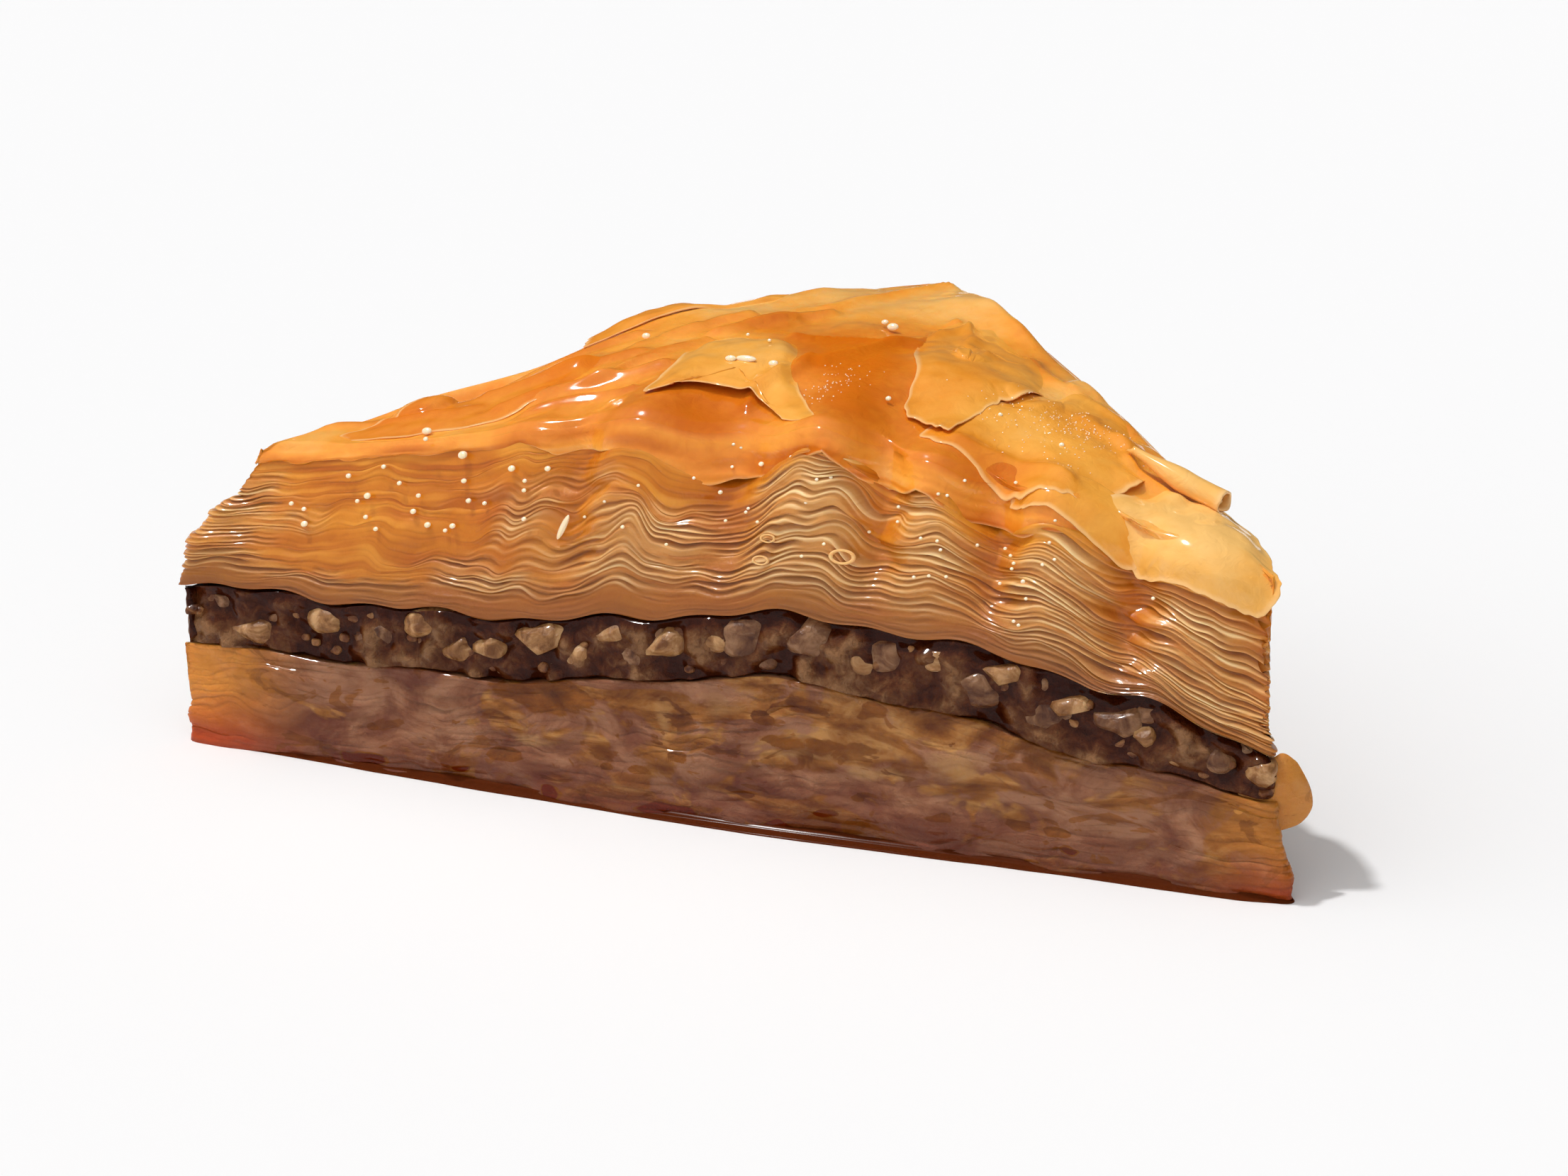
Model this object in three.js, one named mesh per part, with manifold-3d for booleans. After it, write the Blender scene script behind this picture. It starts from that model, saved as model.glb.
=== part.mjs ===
// One triangular piece of baklava, lying flat with its long cut side towards -Y: a soaked stack of filo
// sheets, a layer of chopped nuts and a taller, puffed stack of filo under a glazed crust with torn flakes.
// Millimetres, +Z up, with the origin on the surface it rests on, below the middle of its box.

import * as THREE from "three";
import { mergeVertices } from "three/addons/utils/BufferGeometryUtils.js";
import Module from "manifold-3d";

const wasm = await Module();
wasm.setup();

// Driving dimensions
const pieceLength = 90; // the long cut side
const pieceDepth = 53; // from the long side back to the third corner
const cornerHeight = 24.6; // top of the crust at the two sharp corners
const apexHeight = 32.4; // top of the crust towards the back corner
const cornerRadius = 1.8; // rounding that the knife and the syrup leave
const seam = 0.35; // clear space between two layers

const lowerHeight = 8.3; // the soaked stack at its two ends
const lowerSwell = 3.7; // how much higher it stands near the middle of the long side
const fillingHeight = 4.7;
const lowerDroop = 1.1; // how much lower it is towards its right end
const swellAt = 12; // where along the long side the lower stack stands highest
const swellSpread = 19;

const sheetDepth = 0.55; // how far a group of sheets stands out from the groove below it
const upperSheetGroups = 11;
const lowerSheetGroups = 5;
const nutSize = 2.1; // half the length of a chopped nut
const flakeThickness = 0.55;

const halfLength = pieceLength / 2;
const halfDepth = pieceDepth / 2;
const middle = new THREE.Vector2(1, -6); // where the rings of a top or an underside close

// Corners of each layer, seen from above: left, right and back. Upper sheets shrank back as they baked.
const footCorners = [
  new THREE.Vector2(-halfLength - 0.4, -halfDepth + 0.4),
  new THREE.Vector2(halfLength + 0.6, -halfDepth + 2.2),
  new THREE.Vector2(-0.5, halfDepth + 0.2),
];
const waistCorners = [
  new THREE.Vector2(-halfLength - 1.7, -halfDepth + 0.8),
  new THREE.Vector2(halfLength - 1.1, -halfDepth + 2.4),
  new THREE.Vector2(-0.5, halfDepth),
];
const crustCorners = [
  new THREE.Vector2(-halfLength + 4.4, -halfDepth + 4),
  new THREE.Vector2(halfLength - 2.2, -halfDepth + 5.6),
  new THREE.Vector2(0.5, halfDepth - 1.6),
];

// Folds of the upper sheets along the long side: where a crest stands, how wide it is, how far it lifts
const frontFolds = [
  { at: -28, width: 6, lift: 0.4 },
  { at: -15.5, width: 3, lift: 0.7 },
  { at: -6.5, width: 3.8, lift: 1.5 },
  { at: 8.8, width: 3.9, lift: 2.5 },
  { at: 17, width: 2.9, lift: 1.6 },
  { at: 26, width: 3, lift: 1.5 },
  { at: 37, width: 3.8, lift: 1.2 },
];

// Blisters of the crust, where air lifted the top sheets
const blisters = [
  { x: -31, y: -12, width: 4, lift: 0.3 },
  { x: -15.5, y: 6, width: 7, lift: 1.7 },
  { x: 5, y: 14, width: 8, lift: 0.5 },
  { x: 15, y: -8, width: 7, lift: 0.7 },
  { x: 30, y: -14, width: 5, lift: 0.5 },
];

const hump = (distance, width) => Math.exp(-((distance / width) ** 2));
const smooth = (value, from, to) => THREE.MathUtils.smoothstep(value, from, to);

// A slow wander between -1 and 1 that differs from one sheet to the next
function wander(place, sheet) {
  return 0.6 * Math.sin(0.29 * place + 2.4 * sheet) + 0.4 * Math.sin(0.77 * place + 4.1 * sheet + 1);
}

const onLongSide = (point) => smooth(-point.y, halfDepth - 8, halfDepth - 5);
const foldLift = (x) => frontFolds.reduce((sum, fold) => sum + fold.lift * hump(x - fold.at, fold.width), 0);

// Heights of the surfaces that part the layers, over a place seen from above
function lowerTop(x, y) {
  const ripple = 0.25 * Math.sin(0.42 * x + 0.3 * y);
  const swell = lowerSwell * hump(x - swellAt, swellSpread) * (1 - 0.4 * smooth(y, -20, 20));
  return lowerHeight + swell - lowerDroop * smooth(x, 0, 20) + ripple;
}

function fillingTop(x, y) {
  const squeeze = 2 * smooth(x, halfLength - 12, halfLength);
  return lowerTop(x, y) + fillingHeight + 0.6 * hump(x - 24, 12) - squeeze + 0.2 * Math.sin(0.9 * x + 2);
}

function crustTop(x, y) {
  const rise = (apexHeight - cornerHeight) * Math.max(0, 1 - (x / halfLength) ** 2) ** 2;
  const droop = 2 * smooth(x, halfLength - 20, halfLength - 1);
  const atFront = 1 - smooth(y, -halfDepth + 3, -halfDepth + 19);
  const shoulder = 0.5 * (apexHeight - cornerHeight) * Math.max(0, 1 - (x / halfLength) ** 2) * atFront;
  const puffs = blisters.reduce(
    (sum, b) => sum + b.lift * hump(Math.hypot(x - b.x, y - b.y), b.width), 0);
  return cornerHeight + rise - droop - shoulder + puffs + foldLift(x) * atFront;
}

// Steps of an outline: each corner's curve, then the side that follows it, starting with the left corner
// and the long side.
const outlineSteps = [3, 44, 3, 16, 4, 16];
const ringSize = outlineSteps.reduce((sum, steps) => sum + steps, 0);

// The outline at one height, as points, outward normals and the distance along it. All outlines have the
// same steps, so that one joins the next ring to ring.
function outline(corners) {
  const path = new THREE.Path();
  const towards = (from, to) => from.clone().lerp(to, cornerRadius / from.distanceTo(to));
  corners.forEach((corner, i) => {
    const start = towards(corner, corners[(i + 2) % 3]);
    const end = towards(corner, corners[(i + 1) % 3]);
    if (i === 0) path.moveTo(start.x, start.y);
    else path.lineTo(start.x, start.y);
    path.quadraticCurveTo(corner.x, corner.y, end.x, end.y);
  });
  path.closePath();
  const lengths = path.getCurveLengths();
  return path.curves.flatMap((curve, k) =>
    Array.from({ length: outlineSteps[k] }, (_, j) => {
      const t = j / outlineSteps[k];
      const along = curve.getTangent(t);
      const reached = (lengths[k - 1] ?? 0) + t * curve.getLength();
      return { point: curve.getPoint(t), normal: new THREE.Vector2(along.y, -along.x), reached };
    }));
}

// A closed geometry as a solid that can be joined and cut
function solidOf(geometry) {
  geometry.deleteAttribute("normal");
  geometry.deleteAttribute("uv");
  const merged = mergeVertices(geometry, 1e-4);
  const corners = merged.index.array;
  const triVerts = [];
  for (let i = 0; i < corners.length; i += 3) {
    const [a, b, c] = corners.slice(i, i + 3);
    if (a !== b && b !== c && c !== a) triVerts.push(a, b, c);
  }
  return new wasm.Manifold(new wasm.Mesh({
    numProp: 3,
    vertProperties: merged.getAttribute("position").array,
    triVerts: new Uint32Array(triVerts),
  }));
}

function geometryOf(solid) {
  const { vertProperties, triVerts } = solid.getMesh();
  const geometry = new THREE.BufferGeometry();
  geometry.setAttribute("position", new THREE.BufferAttribute(vertProperties, 3));
  geometry.setIndex(new THREE.BufferAttribute(triVerts, 1));
  geometry.computeVertexNormals();
  return geometry;
}

// A closed body with the faces of a lathe, whose turned profile is drawn out to the triangle. Its rows run
// from the middle of the underside, out and up the wall, to the middle of the top. A row has the corners
// of its outline, its inset from 0 at the outline to 1 at the middle, its height over a place, and how far
// each of its points is pushed out.
function ringBody(rows) {
  const profile = rows.map((row, j) => new THREE.Vector2(row.inset === 1 ? 0 : 1, j));
  const shell = new THREE.LatheGeometry(profile, ringSize);
  const position = shell.getAttribute("position");
  rows.forEach((row, j) => {
    const ring = outline(row.corners);
    for (let i = 0; i <= ringSize; i++) {
      const { point, normal, reached } = ring[i % ringSize];
      const out = row.push ? row.push(point, reached) : 0;
      const place = point.clone().addScaledVector(normal, out).lerp(middle, row.inset);
      position.setXYZ(i * rows.length + j, place.x, place.y, row.height(place.x, place.y));
    }
  });
  const undersideRows = rows.findIndex((row) => row.inset === 0);
  for (let i = 0; i < ringSize; i++) {
    for (let j = 0; j < undersideRows; j++) foldLikeTop(shell.getIndex(), rows.length, i, j);
  }
  return solidOf(shell);
}

// A lathe folds each four-sided face along one diagonal. The underside's faces are folded along the other
// one, as the top of the layer below is seen from above, so that two layers fit face to face.
function foldLikeTop(index, rowCount, i, j) {
  const inner = i * rowCount + j;
  const innerNext = inner + rowCount;
  const corners = [inner, innerNext, innerNext + 1, inner, innerNext + 1, inner + 1];
  corners.forEach((corner, k) => index.setX(6 * (i * (rowCount - 1) + j) + k, corner));
}

const cornersBetween = (low, high, share) => low.map((corner, i) => corner.clone().lerp(high[i], share));
const heightBetween = (low, high, share) => (x, y) => THREE.MathUtils.lerp(low(x, y), high(x, y), share);
const insetRows = (insets, corners, height) => insets.map((inset) => ({ inset, corners, height }));

// Wall rows of a stack of sheets: a groove, then a lip that stands out, for each group of sheets
function sheetRows(groups, lowCorners, highCorners, low, high, push) {
  const rows = [];
  for (let step = 0; step <= 2 * groups; step++) {
    const share = step / (2 * groups);
    const side = step % 2 === 0 ? -0.5 : 0.5;
    rows.push({
      inset: 0,
      corners: cornersBetween(lowCorners, highCorners, share),
      height: heightBetween(low, high, share),
      push: (point, reached) =>
        side * sheetDepth * (1 + 0.8 * wander(reached, step)) + (push ? push(point, share) : 0),
    });
  }
  return rows;
}

// The soaked stack under the filling, flat underneath, with a torn flap at the right corner
function lowerStack() {
  const floor = () => 0;
  const top = (x, y) => lowerTop(x, y) - seam / 2;
  const spread = (point, share) => 1.2 * hump(point.x + 3, 26) * (1 - share) * onLongSide(point);
  const stack = ringBody([
    ...insetRows([1, 0.4], footCorners, floor),
    ...sheetRows(lowerSheetGroups, footCorners, waistCorners, floor, top, spread),
    ...insetRows([0.15, 0.6, 1], waistCorners, top),
  ]);
  const flap = new THREE.SphereGeometry(1, 10, 6);
  flap.scale(3, 1.5, 1.1).rotateY(0.35);
  flap.translate(halfLength - 1.3, -halfDepth + 3, lowerHeight - 3.3);
  return stack.add(solidOf(flap));
}

// The layer of chopped nuts: a darker core, cut back a little, with the nuts that show fused to its wall
function nutFilling() {
  const layer = (reach, clear) => {
    const floor = (x, y) => lowerTop(x, y) + clear;
    const top = (x, y) => fillingTop(x, y) - clear;
    return ringBody([
      ...insetRows([1, 0.6, 0.15], waistCorners, floor),
      ...[0, 0.33, 0.66, 1].map((share) => ({
        inset: 0,
        corners: waistCorners,
        height: heightBetween(floor, top, share),
        push: (point, reached) => reach + 0.25 * wander(2 * reached, 7 * share),
      })),
      ...insetRows([0.15, 0.6, 1], waistCorners, top),
    ]);
  };
  const core = layer(-0.8, seam / 2);
  const room = layer(1.2, 1.3 * seam);
  const ring = outline(waistCorners);
  const random = (seed) => THREE.MathUtils.seededRandom(seed);
  const nuts = [];
  for (let i = 0; i < ringSize; i += 2) {
    const { point, normal } = ring[i];
    if (Math.abs(point.x) > halfLength - 2.5) continue;
    const size = nutSize * (0.6 + 0.55 * random(31 * i + 5));
    const place = point.clone().addScaledVector(normal, -0.55 * size);
    const share = 0.25 + 0.5 * random(17 * i + 3);
    const nut = new THREE.IcosahedronGeometry(size, 0);
    nut.scale(1, 0.75, 0.62);
    nut.rotateX(2 * random(7 * i + 1));
    nut.rotateZ(Math.PI * random(13 * i + 2));
    nut.translate(place.x, place.y, heightBetween(lowerTop, fillingTop, share)(place.x, place.y));
    nuts.push(solidOf(nut).intersect(room));
  }
  return nuts.reduce((sum, nut) => sum.add(nut), core);
}

// A torn sheet on the crust, an uneven oval whose edge lifts off towards one side
function flake({ x, y, length, width, turn, lift, liftAt }, sheet) {
  const rows = [
    { reach: 0, rise: -1.6 }, { reach: 0.6, rise: -1.2 }, { reach: 1, rise: 0 },
    { reach: 1, rise: flakeThickness }, { reach: 0.6, rise: 0.5 }, { reach: 0, rise: 0.4 },
  ];
  const around = 18;
  const shell = new THREE.LatheGeometry(rows.map((row, j) => new THREE.Vector2(row.reach, j)), around);
  const position = shell.getAttribute("position");
  const cos = Math.cos(turn);
  const sin = Math.sin(turn);
  for (let i = 0; i <= around; i++) {
    const angle = (2 * Math.PI * (i % around)) / around;
    const torn = 1 + 0.12 * Math.sin(3 * angle + sheet) + 0.08 * Math.sin(7 * angle + 2 * sheet);
    const raised = lift * Math.max(0, Math.cos(angle - liftAt)) ** 1.5;
    rows.forEach(({ reach, rise }, j) => {
      const along = length * torn * reach * Math.cos(angle);
      const across = width * torn * reach * Math.sin(angle);
      const px = x + along * cos - across * sin;
      const py = y + along * sin + across * cos;
      const pz = crustTop(px, py) - 0.15 + rise + raised * reach ** 3;
      position.setXYZ(i * rows.length + j, px, py, pz);
    });
  }
  return solidOf(shell);
}

const tornSheets = [
  { x: 2, y: -12, length: 9, width: 6.5, turn: 0.1, lift: 1.5, liftAt: -1.7 },
  { x: 18, y: -7, length: 8, width: 7.5, turn: 0.5, lift: 1.2, liftAt: -2.1 },
  { x: 25, y: -15, length: 9, width: 5, turn: -0.5, lift: 1, liftAt: -1.2 },
  { x: 35.5, y: -18.5, length: 7, width: 4.2, turn: -0.35, lift: 1.1, liftAt: -2.4 },
];

// A sheet that rolled up as it dried, along the right back edge
function rolledSheet() {
  const roll = new THREE.SphereGeometry(1, 10, 8);
  const along = Math.atan2(crustCorners[1].y - crustCorners[2].y, crustCorners[1].x - crustCorners[2].x);
  roll.scale(6.5, 1.7, 1.2).rotateY(0.12).rotateZ(along);
  const place = crustCorners[2].clone().lerp(crustCorners[1], 0.8);
  roll.translate(place.x - 1.2, place.y - 0.8, crustTop(place.x, place.y) + 0.2);
  return solidOf(roll);
}

// The puffed stack and its crust. Its long side leans back, and its folds stand out as they rise.
function upperStack() {
  const floor = (x, y) => fillingTop(x, y) + seam / 2;
  const edge = (x, y) => crustTop(x, y) - 1.1;
  const fold = (point, share) => 0.6 * (foldLift(point.x) - 0.9) * share * onLongSide(point);
  const crust = [
    { inset: 0.025, drop: 0.35 }, { inset: 0.07, drop: 0.05 }, { inset: 0.15, drop: 0 },
    { inset: 0.27, drop: 0 }, { inset: 0.42, drop: 0 }, { inset: 0.6, drop: 0 },
    { inset: 0.8, drop: 0 }, { inset: 1, drop: 0 },
  ];
  const stack = ringBody([
    ...insetRows([1, 0.6, 0.15], waistCorners, floor),
    ...sheetRows(upperSheetGroups, waistCorners, crustCorners, floor, edge, fold),
    ...crust.map(({ inset, drop }) => ({
      inset,
      corners: crustCorners,
      height: (x, y) => crustTop(x, y) - drop,
      push: (point) => fold(point, 1),
    })),
  ]);
  return tornSheets.reduce((sum, sheet, i) => sum.add(flake(sheet, i)), stack).add(rolledSheet());
}

const soakedFilo = new THREE.MeshStandardMaterial({ color: 0x8a5a3c, roughness: 0.3, metalness: 0 });
const choppedNuts = new THREE.MeshStandardMaterial({ color: 0x4a3128, roughness: 0.4, metalness: 0 });
const goldenFilo = new THREE.MeshStandardMaterial({ color: 0xd9902f, roughness: 0.25, metalness: 0 });

function layerMesh(name, solid, material) {
  const mesh = new THREE.Mesh(geometryOf(solid), material);
  mesh.name = name;
  return mesh;
}

const baklava = new THREE.Group();
baklava.add(
  layerMesh("lower_filo", lowerStack(), soakedFilo),
  layerMesh("nut_filling", nutFilling(), choppedNuts),
  layerMesh("upper_filo", upperStack(), goldenFilo),
);

export default baklava;
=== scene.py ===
import math
import bpy
import numpy as np
from mathutils import Euler, Matrix, Vector


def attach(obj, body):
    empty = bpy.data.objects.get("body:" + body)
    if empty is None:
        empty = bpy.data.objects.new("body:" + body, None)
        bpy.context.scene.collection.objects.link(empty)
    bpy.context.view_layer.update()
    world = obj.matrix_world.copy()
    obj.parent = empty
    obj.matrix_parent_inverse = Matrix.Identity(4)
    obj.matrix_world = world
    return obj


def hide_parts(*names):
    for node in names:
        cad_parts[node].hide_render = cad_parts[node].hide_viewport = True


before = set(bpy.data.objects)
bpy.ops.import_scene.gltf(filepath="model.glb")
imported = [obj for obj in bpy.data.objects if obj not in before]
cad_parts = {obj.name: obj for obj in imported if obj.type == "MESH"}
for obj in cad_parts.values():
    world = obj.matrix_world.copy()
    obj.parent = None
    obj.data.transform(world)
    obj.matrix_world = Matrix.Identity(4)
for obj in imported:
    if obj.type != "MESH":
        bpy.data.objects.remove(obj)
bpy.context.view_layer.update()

# A triangular piece of baklava with its long cut side towards the camera. Shapes are worked out in
# millimetres and turned into metres when a mesh gets its points.
mm = 0.001
mergeWithin = 1e-7  # metres
sharpAngle = 38

size = {
    "length": 90,  # the long cut side
    "depth": 53,
    "cornerHeight": 24.6,
    "apexHeight": 32.4,
    "cornerRadius": 1.8,
    "seam": 0.35,
    "lowerHeight": 8.3,  # of the soaked leaves at the left corner
    "lowerSwell": (12, 19, 3.7),  # x, width and height of their rise
    "lowerDip": 1.1,
    "ripple": 0.25,
    "fillingHeight": 4.7,
    "fillingSwell": (24, 12, 0.6),
    "fillingSqueeze": 2,  # how much thinner the filling is at the right corner
    "rightDroop": 2,  # how far the crust comes down there
    "crustLip": 1.1,
}
halfLength = size["length"] / 2
halfDepth = size["depth"] / 2
middle = np.array([1.0, -6.0])

# left, right and back corner of the piece seen from above, and how far each layer's corners stand off them
boxCorners = np.array([[-halfLength, -halfDepth], [halfLength, -halfDepth], [0, halfDepth]])
footCorners = boxCorners + [[-0.4, 0.4], [0.6, 2.2], [-0.5, 0.2]]
waistCorners = boxCorners + [[-1.7, 0.8], [-1.1, 2.4], [-0.5, 0]]
crustCorners = boxCorners + [[4.4, 4], [-2.2, 5.6], [0.5, -1.6]]

folds = [  # where a crest of the upper sheets stands on the long side, its width and its lift
    (-28, 6, 0.4), (-15.5, 3, 0.7), (-6.5, 3.8, 1.5), (8.8, 3.9, 2.5), (17, 2.9, 1.6), (26, 3, 1.5),
    (37, 3.8, 1.2),
]
valleys = [  # where the sheets draw in between two folds, how wide and how deep
    (-21.5, 3, 0.25), (-11, 2, 0.7), (1.6, 2.4, 0.8), (13.1, 1.8, 1.0), (21.6, 1.7, 0.9), (31.8, 1.8, 1.0),
    (41.5, 2, 0.3),
]
blisters = [  # x, y, width and lift of the air under the crust
    (-31, -12, 4, 0.3), (-15.5, 6, 7, 1.7), (5, 14, 8, 0.5), (15, -8, 7, 0.7), (30, -14, 5, 0.5),
]


def hump(distance, width):
    return np.exp(-((distance / width) ** 2))


def smooth(value, start, end):
    t = np.clip((value - start) / (end - start), 0, 1)
    return t * t * (3 - 2 * t)


def blend(a, b, share):
    return a + (b - a) * share


noiseTables = {}


def drift(u, v, seed, period=256):
    # slow noise between -1 and 1 with one bump to a unit, repeating along u after a period
    if seed not in noiseTables:
        noiseTables[seed] = np.random.default_rng(seed).uniform(-1, 1, (256, 256))
    table = noiseTables[seed]
    u, v = np.broadcast_arrays(np.asarray(u, float), np.asarray(v, float))
    i, j = np.floor(u).astype(int), np.floor(v).astype(int)
    fu, fv = smooth(u - i, 0, 1), smooth(v - j, 0, 1)
    near = blend(table[i % period, j % 256], table[(i + 1) % period, j % 256], fu)
    far = blend(table[i % period, (j + 1) % 256], table[(i + 1) % period, (j + 1) % 256], fu)
    return blend(near, far, fv)


def foldLift(x):
    return sum(lift * hump(x - at, width) for at, width, lift in folds)


def valleyDepth(x):
    return sum(depth * hump(x - at, width) for at, width, depth in valleys)


def lowerTop(x, y):
    at, width, height = size["lowerSwell"]
    swell = height * hump(x - at, width) * (1 - 0.4 * smooth(y, -20, 20))
    ripple = size["ripple"] * np.sin(0.42 * x + 0.3 * y)
    return size["lowerHeight"] + swell - size["lowerDip"] * smooth(x, 0, 20) + ripple


def fillingTop(x, y):
    at, width, height = size["fillingSwell"]
    squeeze = size["fillingSqueeze"] * smooth(x, halfLength - 12, halfLength)
    swell = height * hump(x - at, width)
    return lowerTop(x, y) + size["fillingHeight"] + swell - squeeze + 0.2 * np.sin(0.9 * x + 2)


def crustTop(x, y):
    swell = size["apexHeight"] - size["cornerHeight"]
    inside = np.maximum(0, 1 - (x / halfLength) ** 2)
    droop = size["rightDroop"] * smooth(x, halfLength - 20, halfLength - 1)
    atFront = 1 - smooth(y, -halfDepth + 3, -halfDepth + 19)
    puffs = sum(lift * hump(np.hypot(x - bx, y - by), width) for bx, by, width, lift in blisters)
    base = size["cornerHeight"] + swell * inside ** 2 - droop - 0.5 * swell * inside * atFront
    return base + puffs + foldLift(x) * atFront


def onLongSide(y):
    return smooth(-y, halfDepth - 8, halfDepth - 5)


def outline(corners, longSteps, sideSteps, cornerSteps):
    # the rounded triangle as points, outward normals and the way gone along it
    points, tangents = [], []
    for i, corner in enumerate(corners):
        before, after = corners[(i + 2) % 3], corners[(i + 1) % 3]
        start = corner + (before - corner) * size["cornerRadius"] / np.linalg.norm(before - corner)
        end = corner + (after - corner) * size["cornerRadius"] / np.linalg.norm(after - corner)
        nextStart = after + (corner - after) * size["cornerRadius"] / np.linalg.norm(corner - after)
        t = (np.arange(cornerSteps) / cornerSteps)[:, None]
        points.append((1 - t) ** 2 * start + 2 * t * (1 - t) * corner + t ** 2 * end)
        tangents.append(2 * (1 - t) * (corner - start) + 2 * t * (end - corner))
        steps = longSteps if i == 0 else sideSteps
        t = (np.arange(steps) / steps)[:, None]
        points.append(blend(end, nextStart, t))
        tangents.append(np.repeat((nextStart - end)[None, :], steps, axis=0))
    points, tangents = np.concatenate(points), np.concatenate(tangents)
    tangents /= np.linalg.norm(tangents, axis=1)[:, None]
    gaps = np.linalg.norm(np.roll(points, -1, axis=0) - points, axis=1)
    along = np.concatenate([[0], np.cumsum(gaps)[:-1]])
    normals = np.stack([tangents[:, 1], -tangents[:, 0]], axis=1)
    return {"at": points, "out": normals, "along": along, "total": gaps.sum()}


def roundDrift(ring, bumpLength, v, seed):
    cells = min(256, max(3, round(ring["total"] / bumpLength)))
    return drift(ring["along"] / ring["total"] * cells, v, seed, cells)


# Meshes

def selectOnly(piece):
    bpy.ops.object.select_all(action="DESELECT")
    piece.select_set(True)
    bpy.context.view_layer.objects.active = piece


def readPoints(piece):
    points = np.empty(len(piece.data.vertices) * 3, np.float32)
    piece.data.vertices.foreach_get("co", points)
    return points.reshape(-1, 3).astype(float)


def writePoints(piece, points):
    piece.data.vertices.foreach_set("co", points.astype(np.float32).ravel())
    piece.data.update()


def writeValues(piece, name, values):
    layer = piece.data.attributes.new(name, "FLOAT", "POINT")
    layer.data.foreach_set("value", values.astype(np.float32).ravel())


def mend(piece):
    selectOnly(piece)
    bpy.ops.object.mode_set(mode="EDIT")
    bpy.ops.mesh.select_all(action="SELECT")
    bpy.ops.mesh.remove_doubles(threshold=mergeWithin)
    bpy.ops.mesh.normals_make_consistent(inside=False)
    bpy.ops.object.mode_set(mode="OBJECT")
    bpy.ops.object.shade_smooth()


def gridPiece(name, points, values, wrapped=True):
    # A flat grid whose rows and columns go to the given points, in millimetres. Where it is wrapped, its
    # last column meets its first.
    rows, columns = points.shape[:2]
    bpy.ops.object.select_all(action="DESELECT")
    across = columns if wrapped else columns - 1
    bpy.ops.mesh.primitive_grid_add(x_subdivisions=across, y_subdivisions=rows - 1, size=2)
    piece = bpy.context.object
    piece.name = piece.data.name = name
    flat = readPoints(piece)
    column = np.rint((flat[:, 0] + 1) / 2 * across).astype(int) % columns
    row = np.rint((flat[:, 1] + 1) / 2 * (rows - 1)).astype(int)
    writePoints(piece, points[row, column] * mm)
    for key, value in values.items():
        writeValues(piece, key, np.broadcast_to(value, (rows, columns))[row, column])
    mend(piece)
    return piece


def thicken(piece, thickness):
    selectOnly(piece)
    wall = piece.modifiers.new("wall", "SOLIDIFY")
    wall.thickness = thickness * mm
    wall.offset = -1
    wall.use_even_offset = False
    bpy.ops.object.modifier_apply(modifier="wall")


def joinPieces(pieces, name):
    bpy.ops.object.select_all(action="DESELECT")
    for piece in pieces:
        piece.select_set(True)
    bpy.context.view_layer.objects.active = pieces[0]
    bpy.ops.object.join()
    joined = bpy.context.object
    joined.name = joined.data.name = name
    selectOnly(joined)
    bpy.ops.object.shade_smooth_by_angle(angle=math.radians(sharpAngle))
    return joined


def finishPiece(piece, finish, node):
    piece.data.materials.clear()
    piece.data.materials.append(finish.material)
    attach(piece, "root")
    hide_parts(node)


# Materials. Their colours are what the screen shows, from 0 to 255.

socketNames = {
    "colour": "Base Color", "roughness": "Roughness", "specular": "Specular IOR Level",
    "glow": "Subsurface Weight", "glowReach": "Subsurface Radius", "glowScale": "Subsurface Scale",
    "coat": "Coat Weight", "coatRoughness": "Coat Roughness",
}


def linear(*colour):
    return tuple(c / 255 / 12.92 if c <= 10 else ((c / 255 + 0.055) / 1.055) ** 2.4 for c in colour)


class Wire:
    # a socket of a material, so that sums on its value read as sums
    def __init__(self, finish, socket):
        self.finish = finish
        self.socket = socket

    def __add__(self, other):
        return self.finish.maths("ADD", self, other)

    def __radd__(self, other):
        return self.finish.maths("ADD", other, self)

    def __sub__(self, other):
        return self.finish.maths("SUBTRACT", self, other)

    def __rsub__(self, other):
        return self.finish.maths("SUBTRACT", other, self)

    def __mul__(self, other):
        return self.finish.maths("MULTIPLY", self, other)

    def __rmul__(self, other):
        return self.finish.maths("MULTIPLY", other, self)


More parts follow.
